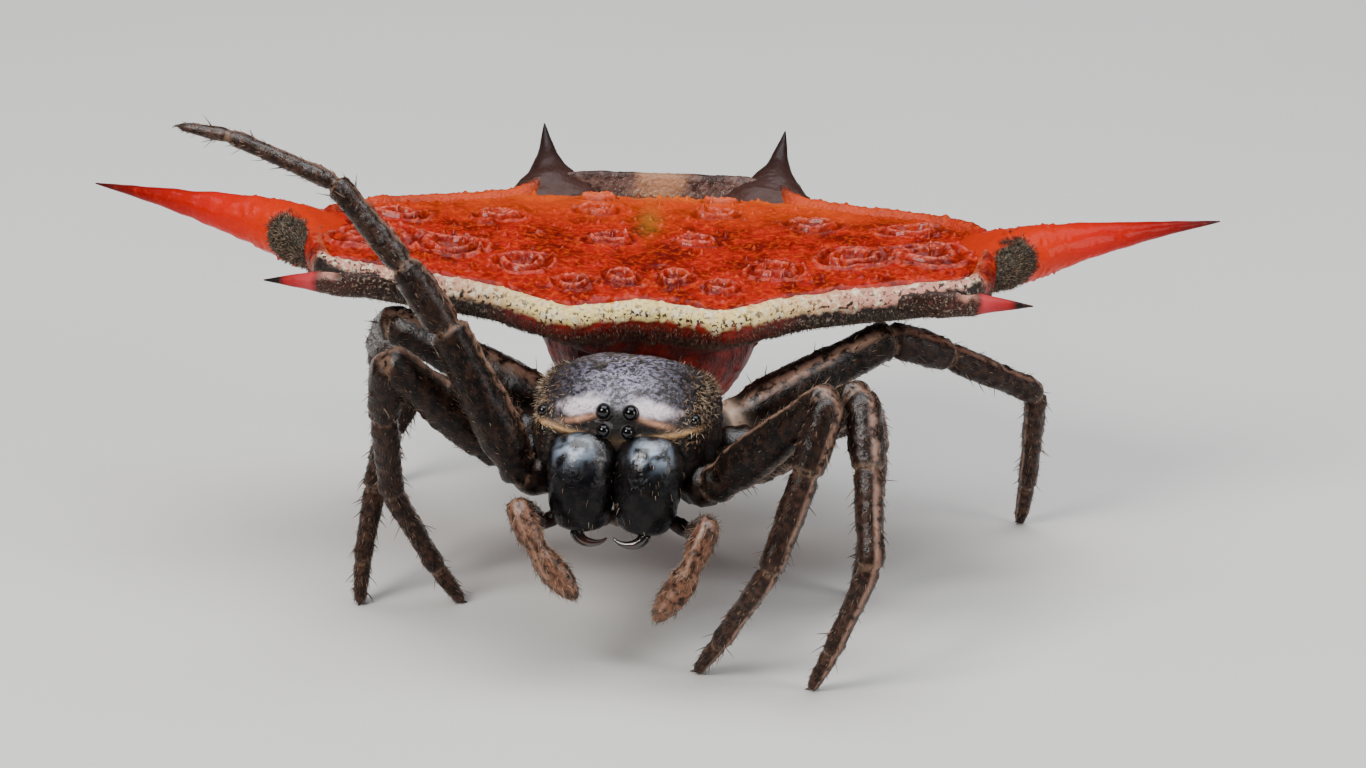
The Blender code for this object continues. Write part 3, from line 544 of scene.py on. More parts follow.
def faceHeight(x, y):
    # the edge's height plus a low crown that rises from the edge to the middle, with a dip before the dark bead
    dx, dy = x - shell["middle"][0], y - shell["middle"][1]
    reach = np.interp(np.arctan2(dy, dx), edgeTurns, edgeReach, period=tau)
    inward = np.clip(1.15 * (1 - np.hypot(dx, dy) / reach), 0, 1)
    dip = shell["rearDip"] * eased(3.7, 4.8, y) * eased(2.7, 2.1, np.abs(x))
    return edgeHeight(x, y) + shell["crown"] * np.sin(inward * math.pi / 2) - dip


def sigillaRelief(x, y):
    # raised ring at distance 1 of each oval, a sunk floor, a pit in it, and a wider fainter arc
    height, pit, ring, moatShade = (np.zeros_like(x) for _ in range(4))
    draw = np.random.default_rng(11)
    for cx, cy, long, wide, arc in sigilla:
        for side in bothSides:
            lean = math.radians(draw.uniform(-16, 16))
            grow = draw.uniform(0.92, 1.08)
            dx, dy = x - side * cx, y - cy
            near = np.hypot(dx, dy) < 4 * long
            u = (dx * math.cos(lean) + dy * math.sin(lean)) / (long * grow)
            v = (dy * math.cos(lean) - dx * math.sin(lean)) / (wide * grow)
            wobble = 1 + 0.07 * np.sin(3 * np.arctan2(v, u) + draw.uniform(0, tau))
            d = np.hypot(u, v) * wobble
            height += near * (0.115 * bell(d - 0.95, 0.20) - 0.075 * bell(d, 0.58) - 0.045 * bell(d, 0.28)
                              + arc * 0.060 * bell(d - 1.70, 0.17) - 0.035 * bell(d - 1.36, 0.13))
            pit = np.maximum(pit, near * bell(d, 0.36) * 0.95)
            ring = np.maximum(ring, near * np.maximum(bell(d - 0.97, 0.13), arc * 0.7 * bell(d - 1.70, 0.09)))
            # moat: painted shade in the sunk floor and in the groove before the outer arc
            moatShade = np.maximum(moatShade, near * np.maximum(0.8 * bell(d - 1.34, 0.14), 0.6 * bell(d - 0.60, 0.16)))
    return height, pit, ring, moatShade


def buildFace():
    # grid between the front and back runs of the inset edge; its border is drawn down and closed by a fan
    inset = edgeCurve + inwardFrom(edgeCurve) * shell["faceInset"]
    turn = int(np.argmax(inset[:, 0])), int(np.argmin(inset[:, 0]))
    front = np.concatenate([inset[turn[1]:], inset[:turn[0] + 1]])
    back = inset[turn[0]:turn[1] + 1][::-1]
    columns, rows = shell["faceColumns"], shell["faceRows"]
    s = np.linspace(-1, 1, columns)
    x = (0.86 * s + 0.14 * np.sin(s * math.pi / 2)) * inset[:, 0].max()
    low, high = np.interp(x, front[:, 0], front[:, 1]), np.interp(x, back[:, 0], back[:, 1])
    t = np.linspace(0, 1, rows)[:, None]
    gridX, gridY = np.broadcast_to(x, (rows, columns)), low + (high - low) * t
    relief, pit, ring, moatShade = sigillaRelief(gridX, gridY)
    z = faceHeight(gridX, gridY)
    flat = np.stack([gridX, gridY, z], -1)
    toEdge = np.minimum(gridY - low, high - gridY) * 0.9
    within = eased(0.0, 0.25, toEdge)
    wrinkle = 0.022 * ripples(flat, 1.1, 1) + 0.020 * ripples(flat, 0.42, 2) + 0.034 * grains(flat, 0.22, 3)
    z = z + (relief + wrinkle * (1 - 0.7 * pit)) * within - 0.10 * bell(toEdge, 0.10)
    rearBand = eased(4.35, 4.65, gridY + 0.10 * ripples(flat, 0.5, 4)) * eased(2.5, 2.1, np.abs(gridX))
    marks = {"pit": pit * within, "ring": ring * within, "moatShade": moatShade * within,
             "midline": 0.7 * bell(gridX + 0.1, 0.22) * bell(gridY - 2.6, 0.8),
             # groove: painted shade in the crease where the face drops to the edge
             "groove": bell(toEdge, 0.09), "rearBand": rearBand}
    i, j = np.meshgrid(np.arange(rows - 1), np.arange(columns - 1), indexing="ij")
    start = (i * columns + j).ravel()
    quads = np.stack([start, start + 1, start + columns + 1, start + columns], -1)
    border = np.concatenate([np.arange(columns), np.arange(2, rows) * columns - 1,
                             np.arange(rows * columns - 1, (rows - 1) * columns - 1, -1),
                             np.arange((rows - 2) * columns, 0, -columns)])
    points = np.stack([gridX, gridY, z], -1).reshape(-1, 3)
    count, size = len(points), len(border)
    lower = count + np.arange(size)
    k = (np.arange(size) + 1) % size
    skirt = np.stack([border, lower, count + k, border[k]], -1)
    fan = np.stack([np.full(size, count + size), count + k, lower], -1)
    base = np.array([[0.0, shell["middle"][1], shell["frontZ"] - 0.5]])
    marks = {key: np.concatenate([v.ravel(), v.ravel()[border], [0.0]]) for key, v in marks.items()}
    return outward({"points": np.concatenate([points, points[border] - (0, 0, 0.12), base]),
                    "quads": np.concatenate([quads, skirt]), "triangles": fan, "marks": marks})


def buildEdge():
    # one closed body: a hidden floor under the face, the bead, the wall drawn in below it, and the belly
    outline = outlineCurve(shell["rimColumns"])
    inward = inwardFrom(outline)
    edgeZ = edgeHeight(outline[:, 0], outline[:, 1])
    rings, band = [], []

    def add(ring, at):
        rings.append(ring)
        band.append(at)

    for scale in (0.05, 0.35, 0.65, 0.86):
        plan = shell["middle"] + (outline - shell["middle"]) * scale
        add(np.column_stack([plan, faceHeight(plan[:, 0], plan[:, 1]) - 0.22]), 0.0)
    rearMiddle = eased(4.3, 4.75, outline[:, 1]) * eased(3.0, 2.5, np.abs(outline[:, 0]))
    places = np.linspace(0, 1, shell["beadRows"])
    bead = throughStops([s[0] for s in beadShape], [s[1:] for s in beadShape], places)
    for at, (inset, drop) in zip(places, bead):
        z = edgeZ - drop - 0.24 * rearMiddle * eased(0.24, 0.0, at) + 0.05 * rearMiddle * math.sin(math.pi * at)
        ring = np.column_stack([outline + inward * inset, z])
        bulge = (0.018 * ripples(ring, 0.55, 21) + 0.026 * grains(ring, 0.15, 22) * (1 - 0.8 * rearMiddle))
        bulge = bulge * math.sin(math.pi * min(at + 0.1, 1))
        ring[:, :2] -= inward * (bulge * eased(0.2, 0.6, at))[:, None]
        ring[:, 2] += bulge * (1 - eased(0.4, 0.8, at))
        add(ring, at)
    start = rings[-1]
    middle, half = shell["bellyMiddle"], shell["bellyHalf"]
    angle = np.arctan2(outline[:, 0] / half[0], (outline[:, 1] - middle[1]) / half[1])
    shoulder = middle + np.column_stack([half[0] * np.sin(angle), half[1] * np.cos(angle)])
    steepness = 1.9 - 0.9 * eased(4.4, 2.8, np.abs(outline[:, 0])) * eased(0.0, -0.8, outline[:, 1])
    for part in np.linspace(0, 1, shell["wallRows"])[1:]:
        z = start[:, 2] + (shell["shoulderZ"] - start[:, 2]) * part ** steepness
        ring = np.column_stack([start[:, :2] + (shoulder - start[:, :2]) * part, z])
        fold = 0.05 * ripples(ring, 0.9, 23) + 0.035 * grains(ring, 0.28, 24)
        ring[:, 2] += fold * eased(0, 0.15, part)
        add(ring, 1 + part)
    for part in np.linspace(0, 1, shell["bellyRows"])[1:]:
        scale = math.cos(part * math.pi / 2) * 0.97 + 0.03
        z = shell["bottomZ"] + (shell["shoulderZ"] - shell["bottomZ"]) * (1 - math.sqrt(max(1 - scale ** 2.4, 0)))
        ring = np.column_stack([middle + (shoulder - middle) * scale, np.full(len(outline), z)])
        way = unit(np.column_stack([ring[:, :2] - middle, np.full(len(outline), -1.5 * part)]))
        fold = 0.04 * ripples(ring, 0.8, 25) + 0.03 * grains(ring, 0.26, 26)
        add(ring + way * fold[:, None] * scale, 2 + part)
    rings, band = np.array(rings), np.array(band)[:, None]
    x, y = rings[..., 0], rings[..., 1]
    frontWall = np.clip(eased(3.0, 2.0, np.abs(x)) * eased(1.5, 0.2, y) + eased(2.0, 2.4, band) * 0.6, 0, 1)
    return rings, closedBody(rings, band=band, frontWall=frontWall, rearMiddle=rearMiddle[None],
                             rearSide=eased(-0.50, -0.15, outline[:, 1])[None])


# spines: rows and sides of the grid, root and tip in plan, depth under the edge, tip's lift, bow of the middle,
# and the half height and half width at some parts of the length
spines = {
    "front": {"grid": (80, 44), "root": (4.55, -0.66), "tip": (7.02, -0.36),
              "sunk": 0.24, "lift": -0.09, "bow": 0.02,
              "taper": ((0.0, 0.20, 0.16), (0.2, 0.26, 0.22), (0.4, 0.27, 0.25), (0.55, 0.225, 0.22),
                        (0.66, 0.165, 0.165), (0.78, 0.115, 0.115), (0.88, 0.07, 0.07),
                        (0.96, 0.03, 0.03), (1.0, 0.012, 0.012))},
    "side": {"grid": (150, 56), "root": (5.50, 1.20), "tip": (10.45, 2.85),
             "sunk": 0.33, "lift": 0.58, "bow": 0.10,
             "taper": ((0.0, 0.30, 1.20), (0.10, 0.38, 1.10), (0.20, 0.46, 0.88), (0.28, 0.475, 0.66),
                       (0.36, 0.445, 0.50), (0.50, 0.34, 0.36), (0.68, 0.21, 0.22), (0.82, 0.12, 0.12),
                       (0.93, 0.055, 0.055), (1.0, 0.012, 0.012))},
    "back": {"grid": (80, 44), "root": (1.98, 4.36), "tip": (2.28, 6.10),
             "sunk": 0.40, "lift": 1.14, "bow": -0.12,
             "taper": ((0.0, 0.32, 0.95), (0.20, 0.36, 0.86), (0.35, 0.36, 0.64), (0.48, 0.31, 0.44),
                       (0.58, 0.26, 0.31), (0.68, 0.195, 0.21), (0.80, 0.125, 0.125), (0.92, 0.06, 0.06),
                       (1.0, 0.012, 0.012))},
}


def spineRings(kind, side):
    # a path from root to tip that bows by a half sine, with rings whose radius follows the taper
    shape = spines[kind]
    rows, sides = shape["grid"]
    x, y = shape["root"]
    z = float(edgeHeight(x, y)) - shape["sunk"]
    root, tip = np.array([side * x, y, z]), np.array([side * shape["tip"][0], shape["tip"][1], z + shape["lift"]])
    t = np.linspace(0, 1, rows) ** 0.9
    centres = root + (tip - root) * t[:, None] + np.outer(np.sin(math.pi * t) * shape["bow"], upright)
    taper = np.array(shape["taper"])
    radius, width = np.clip(throughStops(taper[:, 0], taper[:, 1:], t), 0.008, None).T
    rings = ringsAlong(centres, upright, radius, width, sides)
    relief = 0.016 * ripples(rings, 0.5, 31) + 0.030 * grains(rings, 0.16, 32) * eased(0.6, 0.2, t)[:, None]
    way = unit(rings - centres[:, None])
    return rings + way * (relief * np.clip(radius / 0.3, 0, 1)[:, None])[..., None], t


def collarPatch(points, height):
    # dark round patch on the front and lower side of a side spine's root
    ragged = 0.07 * ripples(points, 0.30, 33)
    distance = np.hypot((np.abs(points[..., 0]) - 6.62) / 0.47, (height - 0.08) / 0.37) + ragged
    return eased(1.08, 0.92, distance) * eased(1.75, 1.50, points[..., 1])


def spineBody(kind):
    bodies = []
    for side in bothSides:
        rings, t = spineRings(kind, side)
        along = t[:, None]
        height = rings[..., 2] - rings[..., 2].mean(1, keepdims=True)
        upper = eased(0.06, 0.16, height + 0.05 * ripples(rings, 0.2, 34)) * eased(0.40, 0.52, along)
        bodies.append(closedBody(rings, along=along, speckled=eased(0.62, 0.50, along) * (kind == "front"),
                                 collar=collarPatch(rings, height) * (kind == "side"), upper=upper))
    return joined(bodies)


# head, legs, palps and waist: one skin

head = {
    # y, half width, underside and top
    "sections": [(-1.60, 0.30, 3.35, 3.62), (-1.78, 0.55, 3.22, 3.80), (-1.95, 0.95, 3.05, 4.10),
                 (-2.25, 1.32, 2.92, 4.55), (-2.65, 1.55, 2.86, 5.00), (-3.10, 1.64, 2.85, 5.26),
                 (-3.55, 1.66, 2.85, 5.32), (-4.00, 1.63, 2.88, 5.30), (-4.40, 1.55, 2.98, 5.15),
                 (-4.72, 1.43, 3.25, 4.92), (-4.88, 1.32, 3.60, 4.74), (-4.97, 1.15, 3.85, 4.60),
                 (-5.01, 0.90, 4.00, 4.52), (-5.03, 0.50, 4.12, 4.46)],
    "squareness": 0.72, "rows": 170, "sides": 168,
    # place, reach and height of low swellings: under the middle eyes, over each cheek, under the side eyes
    "mounds": [((0.0, -4.95, 4.58), 0.30, 0.06), ((0.62, -4.80, 4.84), 0.30, 0.10),
               ((-0.62, -4.80, 4.84), 0.30, 0.10), ((1.24, -4.72, 4.52), 0.22, 0.09),
               ((-1.24, -4.72, 4.52), 0.22, 0.09)],
    "lip": 4.36,           # height of the ridge over the jaws
}
combTurn = 1.2     # where round the thigh the comb stands
legs = {
    "coxaFan": (-42.0, -12.0, 19.0, 50.0), "coxaStart": 1.50, "coxaEnd": 2.30, "coxaMiddleY": -3.15, "coxaZ": 3.42,
    # femur, patella, tibia, metatarsus and tarsus of each pair
    "lengths": ((3.0, 1.35, 1.9, 2.1, 0.95), (2.9, 1.30, 1.8, 2.0, 0.90), (2.1, 0.95, 1.15, 1.3, 0.75),
                (3.5, 1.30, 2.3, 2.4, 0.95)),
    "radii": (0.40, 0.42, 0.325, 0.26, 0.205, 0.155), "raisedRadii": (0.40, 0.42, 0.315, 0.24, 0.165, 0.125),
    "spacing": 0.048, "sides": 22, "rounding": 0.55,
    "tones": (0.0, 0.0, 0.20, 0.5, 0.8, 1.0),
}
# heading from straight sideways towards the rear, pitch of the femur, foot on the floor, way the knee bulges
stance = {
    "leg_1_left": (-20, 43, (1.20, -5.15), -75),
    "leg_2_left": (-28, 40, (3.27, -5.80), -60),
    "leg_3_left": (6, 20, (3.95, -1.10), 0),
    "leg_4_left": (26, 21, (6.95, 2.90), 20),
    "leg_2_right": (-20, 42, (-3.20, -2.15), 0),
    "leg_3_right": (4, 22, (-5.05, -2.45), 0),
    "leg_4_right": (15, 22, (-4.90, 3.90), 75),
}
raisedName, raisedLeg = "leg_1_right", {"headings": (8, 24, 12), "pitches": (62, 44, 19), "tarsusDroop": 14}
# how a segment swells and narrows, coxa first: part of its length, share of its radius
segmentShapes = [((0.0, 0.60), (0.25, 0.95), (0.60, 1.02), (0.90, 0.98)),
                 ((0.0, 0.80), (0.05, 0.92), (0.11, 0.84), (0.17, 0.96), (0.45, 1.04), (0.75, 0.90), (0.93, 0.88),
                  (0.985, 0.83)),
                 ((0.0, 0.86), (0.08, 0.97), (0.45, 1.05), (0.88, 0.94), (0.97, 0.88)),
                 ((0.0, 0.92), (0.07, 1.00), (0.35, 1.04), (0.72, 0.92), (0.93, 0.95), (0.985, 0.86)),
                 ((0.0, 0.92), (0.06, 1.00), (0.35, 0.98), (0.72, 0.88), (0.94, 0.88), (0.985, 0.80)),
                 ((0.0, 0.96), (0.10, 1.02), (0.50, 0.92), (0.80, 0.74), (0.94, 0.55), (1.0, 0.30))]
palps = {
    "joints": {"left": ((0.85, -4.50, 2.72), (1.40, -4.80, 2.55), (1.80, -5.70, 3.10), (1.48, -6.05, 2.25),
                        (0.90, -5.95, 1.30)),
               "right": ((-0.85, -4.50, 2.72), (-1.40, -4.80, 2.55), (-1.66, -5.72, 3.22), (-1.16, -6.05, 2.42),
                         (-0.52, -5.95, 1.62))},
    "shapes": [((0.0, 0.55), (0.5, 0.75), (0.95, 0.80)), ((0.05, 0.82), (0.5, 1.0), (0.95, 0.84)),
               ((0.06, 0.92), (0.5, 1.02), (0.95, 0.82)),
               ((0.06, 0.95), (0.45, 1.05), (0.80, 0.74), (0.94, 0.45), (1.0, 0.2))],
    "radii": (0.20, 0.235, 0.225, 0.235), "spacing": 0.04, "sides": 20, "rounding": 0.4,
    "tones": (0.3, 0.7, 1.3, 1.3),
}


def smoothPath(joints, window):
    # places by length along the joints, with corners rounded by a running mean of that window
    marks = np.concatenate([[0], np.cumsum(np.linalg.norm(np.diff(joints, axis=0), axis=1))])

    def place(at):
        spread = at[:, None] + np.linspace(-window / 2, window / 2, 15)
        inside = np.clip(spread, 0, marks[-1])
        points = np.stack([np.interp(inside, marks, joints[:, axis]) for axis in range(3)], -1)
        points += np.minimum(spread, 0)[..., None] * unit(joints[1] - joints[0])
        points += np.maximum(spread - marks[-1], 0)[..., None] * unit(joints[-1] - joints[-2])
        return points.mean(axis=1)

    return place, marks


def coxaPlaces(pair, side):
    fan = math.radians(legs["coxaFan"][pair - 1])
    out = np.array([side * math.cos(fan), math.sin(fan)])
    middle = np.array([0.0, legs["coxaMiddleY"]])
    return (turned((*(middle + out * legs["coxaStart"]), legs["coxaZ"] - 0.05)),
            turned((*(middle + out * legs["coxaEnd"]), legs["coxaZ"])))


def direction(side, heading, pitch):
    heading, pitch = math.radians(heading), math.radians(pitch)
    level = math.cos(pitch)
    return np.array([side * level * math.cos(heading), level * math.sin(heading), math.sin(pitch)])


def standingJoints(pair, side, heading, pitch, foot, bulge):
    # femur by heading and pitch, then two links that reach the foot, as two sides of a triangle
    femur, patella, tibia, metatarsus, tarsus = legs["lengths"][pair - 1]
    start, hip = coxaPlaces(pair, side)
    knee = hip + femur * direction(side, heading, pitch)
    foot = np.array([*foot, 0.0])
    upper, lower = patella + tibia, metatarsus + tarsus
    reach = min(np.linalg.norm(foot - knee), 0.995 * (upper + lower))
    line = unit(foot - knee)
    along = (upper ** 2 - lower ** 2 + reach ** 2) / (2 * reach)
    out = direction(side, bulge, 0)
    out = unit(out - line * np.dot(out, line))
    shin = knee + line * along + out * math.sqrt(max(upper ** 2 - along ** 2, 0))
    patellaEnd = knee + (shin - knee) * patella / upper + out * 0.10
    metatarsusEnd = shin + (foot - shin) * metatarsus / lower + out * 0.06
    return [start, hip, knee, patellaEnd, shin, metatarsusEnd, foot]


def raisedJoints(pair, side, headings, pitches, tarsusDroop):
    femur, patella, tibia, metatarsus, tarsus = legs["lengths"][pair - 1]
    start, hip = coxaPlaces(pair, side)
    ways = [direction(side, h, p) for h, p in zip(headings, pitches)]
    knee = hip + femur * ways[0]
    patellaEnd = knee + patella * unit(ways[0] * 0.35 + ways[1] * 0.65)
    shin = patellaEnd + tibia * ways[1]
    metatarsusEnd = shin + metatarsus * ways[2]
    droop = direction(side, headings[2], pitches[2] - tarsusDroop)
    return [start, hip, knee, patellaEnd, shin, metatarsusEnd, metatarsusEnd + tarsus * droop]


def segmentedTube(joints, shapes, radii, limb, sideways, standing=False):
    # tube along the joints whose radius follows each segment's shape; returns rings and marks by row
    place, marks = smoothPath(joints, limb["rounding"])
    stops = np.concatenate([[marks[k] + (marks[k + 1] - marks[k]) * part for part, _ in shape]
                            for k, shape in enumerate(shapes)])
    widths = np.concatenate([[radii[k] * width for _, width in shape] for k, shape in enumerate(shapes)])
    order = np.argsort(stops, kind="stable")
    at = np.linspace(0, marks[-1], int(marks[-1] / limb["spacing"]))
    radius = throughStops(stops[order] + np.arange(len(stops)) * 1e-6, widths[order], at)
    centres = place(at)
    if standing:
        centres[:, 2] = np.maximum(centres[:, 2], radius * 0.9)
    turn = circle(limb["sides"])
    ribs = 1 + 0.035 * np.cos(2 * turn) + 0.018 * np.cos(6 * turn)
    rings = ringsAlong(centres, sideways, radius[:, None] * ribs, radius[:, None] * ribs * 0.97, len(turn))
    relief = 0.014 * ripples(rings, 0.35, 41) + 0.018 * grains(rings, 0.14, 42)
    rings = rings + unit(rings - centres[:, None]) * (relief * np.clip(radius / 0.3, 0, 1)[:, None])[..., None]
    toJoint = np.abs(at[:, None] - marks[1:-1]).min(axis=1)
    segment = np.clip(np.searchsorted(marks, at, side="right") - 1, 0, len(shapes) - 1)
    return {"rings": rings, "at": at, "marks": marks, "toJoint": toJoint, "segment": segment, "turn": turn}


def legTube(name):
    pair, side, raised = int(name[4]), 1 if name.endswith("left") else -1, name == raisedName
    joints = np.array(raisedJoints(pair, side, **raisedLeg) if raised else standingJoints(pair, side, *stance[name]))
    sideways = unit(np.cross(joints[2] - joints[1], joints[-1] - joints[2]))
    return segmentedTube(joints, segmentShapes, legs["raisedRadii" if raised else "radii"], legs, sideways, not raised)


def palpTube(word):
    return segmentedTube(turned(palps["joints"][word]), palps["shapes"], palps["radii"], palps, turnedWay(across))


def tubeBody(tube, tones, membraneAt=None):
    # tone by segment, pale edges at two turns that are partly pale hairs and partly painted rim light, pale joints,
    # and a membrane on one joint
    turn, notFirst = tube["turn"], (tube["segment"] > 0)[:, None]
    streak = np.maximum(bell(np.cos(turn - 1.9) - 1, 0.022), bell(np.cos(turn - 4.6) - 1, 0.022))
    joint = 0.7 * bell(tube["toJoint"] - 0.03, 0.035)[:, None]
    membrane = 0.0 if membraneAt is None else bell(tube["at"] - membraneAt, 0.20)[:, None]
    way = unit(tube["rings"] - tube["rings"].mean(1, keepdims=True))
    return closedBody(tube["rings"], tone=np.array(tones)[tube["segment"]][:, None],
                      skyward=eased(0.15, 0.75, way[..., 2]), streak=streak[None] * notFirst,
                      joint=joint * notFirst, membrane=membrane)


def lipHeight(x):
    return head["lip"] + 0.10 * np.minimum(x ** 2, 1.6)


def headRings():
    # superellipse sections through the stops, with mounds under the eyes and grooves behind them
    stops = np.array(head["sections"])[::-1]
    y = stops[0, 0] + (stops[-1, 0] - stops[0, 0]) * arcSteps(head["rows"]) ** 0.92
    half, low, high = throughStops(stops[:, 0], stops[:, 1:], y).T
    turn = circle(head["sides"])
    out, up = (np.sign(part) * np.abs(part) ** head["squareness"] for part in (np.cos(turn), np.sin(turn)))
    x = half[:, None] * out
    z = ((low + high) / 2)[:, None] + ((high - low) / 2)[:, None] * up
    rings = np.stack([x, np.broadcast_to(y[:, None], x.shape), z], -1)
    centre = np.stack([0 * y, np.clip(y, -4.3, -2.2), (low + high) / 2], -1)[:, None]
    lift = np.zeros_like(x)
    for place, width, height in head["mounds"]:
        lift += height * bell(np.linalg.norm(rings - place, axis=-1), width)
    above = eased(4.1, 4.6, rings[..., 2])
    # groove that parts the head from the chest, bent forward at the sides, and a pit on the chest
    groove = rings[..., 1] + 2.75 + 0.35 * x ** 2
    lift -= 0.10 * bell(groove, 0.16) * above + 0.08 * bell(np.hypot(x, rings[..., 1] + 2.35), 0.25) * above
    polished = above * bell(x, 0.78) * eased(-4.95, -4.75, rings[..., 1]) * eased(-2.9, -3.5, rings[..., 1])
    lift += 0.014 * ripples(rings, 0.45, 51) + 0.030 * grains(rings, 0.15, 52) * (1 - 0.75 * polished)
    lift += 0.055 * bell(z - lipHeight(x), 0.05) * eased(-4.3, -4.7, rings[..., 1])
    return rings + unit(rings - centre) * lift[..., None], polished


def headBody():
    rings, polished = headRings()
    x, y, z = np.moveaxis(rings, -1, 0)
    out, front = np.abs(x), eased(-4.4, -4.75, y)
    # offCheek places the painted highlight on each cheek
    offCheek = np.hypot((out - 0.64) / 0.38, (z - 4.86 - 0.16 * (0.6 - out)) / 0.13)
    socket = np.maximum(bell(np.hypot(x / 1.1, z - 4.64), 0.27), bell(np.hypot(out - 1.28, z - 4.52), 0.22)) * front
    return closedBody(turned(rings), polished=polished, clypeus=bell(z - lipHeight(x), 0.05) * front,
                      cheek=eased(1.40, 0.60, offCheek + 0.22 * ripples(rings, 0.2, 53)) * front,
                      brow=bell(z - 4.68 + 0.25 * (out - 0.6), 0.05) * bell(out - 0.66, 0.30) * front,
                      socket=socket, edge=bell(out - 1.5, 0.30) * eased(3.9, 4.3, z))


def waistBody():
    start, end = np.array([0.0, -1.75, 3.46]), np.array([0.0, -1.05, 3.92])
    t = np.linspace(0, 1, 24)
    radius = 0.26 + 0.04 * np.cos(t * tau * 3)
    return closedBody(ringsAlong(start + (end - start) * t[:, None], across, radius, radius, 24))


# jaws, fangs, lip, eyes, spinnerets and claws

jaws = {
    "top": (0.62, -4.76, 4.30), "low": (0.56, -5.28, 2.72), "bow": 0.22, "rows": 70, "sides": 56,
    # part of the length, half width, half depth
    "shape": ((0.0, 0.40, 0.24), (0.05, 0.52, 0.38), (0.16, 0.60, 0.52), (0.38, 0.61, 0.57), (0.62, 0.58, 0.54),
              (0.82, 0.52, 0.45), (0.94, 0.42, 0.34), (1.0, 0.24, 0.18)),
    "fangHinge": (0.62, -5.44, 2.74), "fangReach": 0.30, "fangRadius": 0.13, "fangTurn": 150,
}


def onSide(point, side):
    return turned((side * point[0], point[1], point[2]))


def jawRings(side):
    top, low = onSide(jaws["top"], side), onSide(jaws["low"], side)
    t = arcSteps(jaws["rows"])
    shape = np.array(jaws["shape"])
    wide, deep = throughStops(shape[:, 0], shape[:, 1:], t).T
    centres = top + (low - top) * t[:, None] + np.outer(np.sin(math.pi * t), -jaws["bow"] * ahead)
    rings = ringsAlong(centres, turnedWay(across), wide, deep, jaws["sides"])
    relief = 0.012 * ripples(rings, 0.4, 61) + 0.010 * grains(rings, 0.12, 62)
    return rings + unit(rings - centres[:, None]) * relief[..., None]


def jawBody(side):
    rings = jawRings(side)
    part = arcSteps(jaws["rows"])[:, None]
    facing = unit(rings - rings.mean(1, keepdims=True)) @ unit(turnedWay((side * 0.15, -1.0, 0.1)))
    gleam = eased(0.55, 0.95, facing) * bell(part - 0.20, 0.10) * eased(-0.5, 0.3, ripples(rings, 0.22, 63))
    return closedBody(rings, skyward=eased(0.45, 0.15, part), gleam=gleam)


def fangBody(side):
    # claw that folds inwards: its path is an arc, its radius falls to the tip
    t = np.linspace(0, 1, 40)
    turn = math.radians(jaws["fangTurn"]) * t
    bend = np.stack([-side * (1 - np.cos(turn)), -0.33 * np.sin(turn), -0.67 * np.sin(turn)], -1)
    centres = onSide(jaws["fangHinge"], side) + turnedWay(jaws["fangReach"] * bend)
    radius = jaws["fangRadius"] * (1 - 0.86 * t ** 1.3) * (1 - 0.5 * bell(t, 0.05))
    return closedBody(ringsAlong(centres, ahead, radius, radius, 20))


def roundBody(centre, radii, relief, seed):
    # ball drawn out along its axes, with its poles up and down
    lift, turn = np.linspace(0.02, math.pi - 0.02, 24)[:, None], circle(32)
    way = np.stack([np.sin(lift) * np.cos(turn), np.sin(lift) * np.sin(turn), np.cos(lift) + 0 * turn], -1)
    rings = np.array(centre) + way * np.array(radii)
    return closedBody(rings + way * (relief * ripples(rings, min(radii) * 1.2, seed))[..., None])


def eyeBody(centre, radius, gaze):
    # domed lens on a low collar, turned round the gaze: profile of radius against reach
    t = np.linspace(0, 1, 30)
    reach = radius * np.interp(t, [0, 0.30, 0.42, 1], [-0.9, 0.05, 0.10, 1.0])
    dome = radius * 0.96 * np.sqrt(np.clip(1 - ((reach / radius - 0.05) / 0.96) ** 2, 0.0004, 1))
    width = np.where(t < 0.36, radius * np.interp(t, [0, 0.30, 0.36], [0.6, 1.12, 1.02]), dome)
    rings = ringsAlong(centre + np.outer(reach, gaze), unit(np.cross(gaze, upright)), width, width, 28)
    return closedBody(rings, lens=eased(0.36, 0.42, t)[:, None])


def eyeBodies():
    # each lens sits on the skin: its middle moves along its gaze to the outermost skin point near that line
    bodies = []
    skinPoints = turned(headRings()[0]).reshape(-1, 3)
    for name, (x, y, z, radius) in eyePlaces.items():
        for side in bothSides:
            gaze = unit(turnedWay((side * 0.25, -0.9, 0.35) if "median" in name else (side * 0.75, -0.6, 0.25)))
            place = onSide((x, y, z), side)
            offset = skinPoints - place
            reach = offset @ gaze
            near = np.linalg.norm(offset - reach[:, None] * gaze, axis=1) < radius
            forward = np.clip(np.median(reach[near & (reach > -0.3)]), 0, 0.12)
            bodies.append(eyeBody(place + gaze * forward, radius * 1.05, gaze))
    return joined(bodies)


def lipBodies():
    # lip in the middle and a lobe at each side of it
    lobes = [roundBody(onSide((0.33, -4.40, 2.64), side), (0.22, 0.30, 0.19), 0.012, 72) for side in bothSides]
    return joined([roundBody(turned((0.0, -4.46, 2.64)), (0.20, 0.20, 0.16), 0.012, 71), *lobes])


def spinneretBodies():
    # a low base, four long cones and two short ones
    middle = np.array([0.0, 2.10, 2.72])
    bodies = [roundBody(middle - 0.14 * upright, (0.55, 0.55, 0.22), 0.02, 73)]
    t = np.linspace(0, 1, 24)
    radius = 0.16 * np.sqrt(np.clip(1 - t ** 3, 0.03, 1)) * (1 - 0.2 * bell(t - 0.55, 0.06))
    for long, turn in zip([0.85] * 4 + [0.60] * 2, np.radians((45, 135, 225, 315, 0, 180))):
        out = np.array([math.cos(turn), math.sin(turn), 0.0])
        centres = middle + out * 0.21 - np.outer(0.08 + t * (long - 0.08), upright) + np.outer(t * 0.05, out)
        bodies.append(closedBody(ringsAlong(centres, across, radius, radius, 20)))
    return joined(bodies)


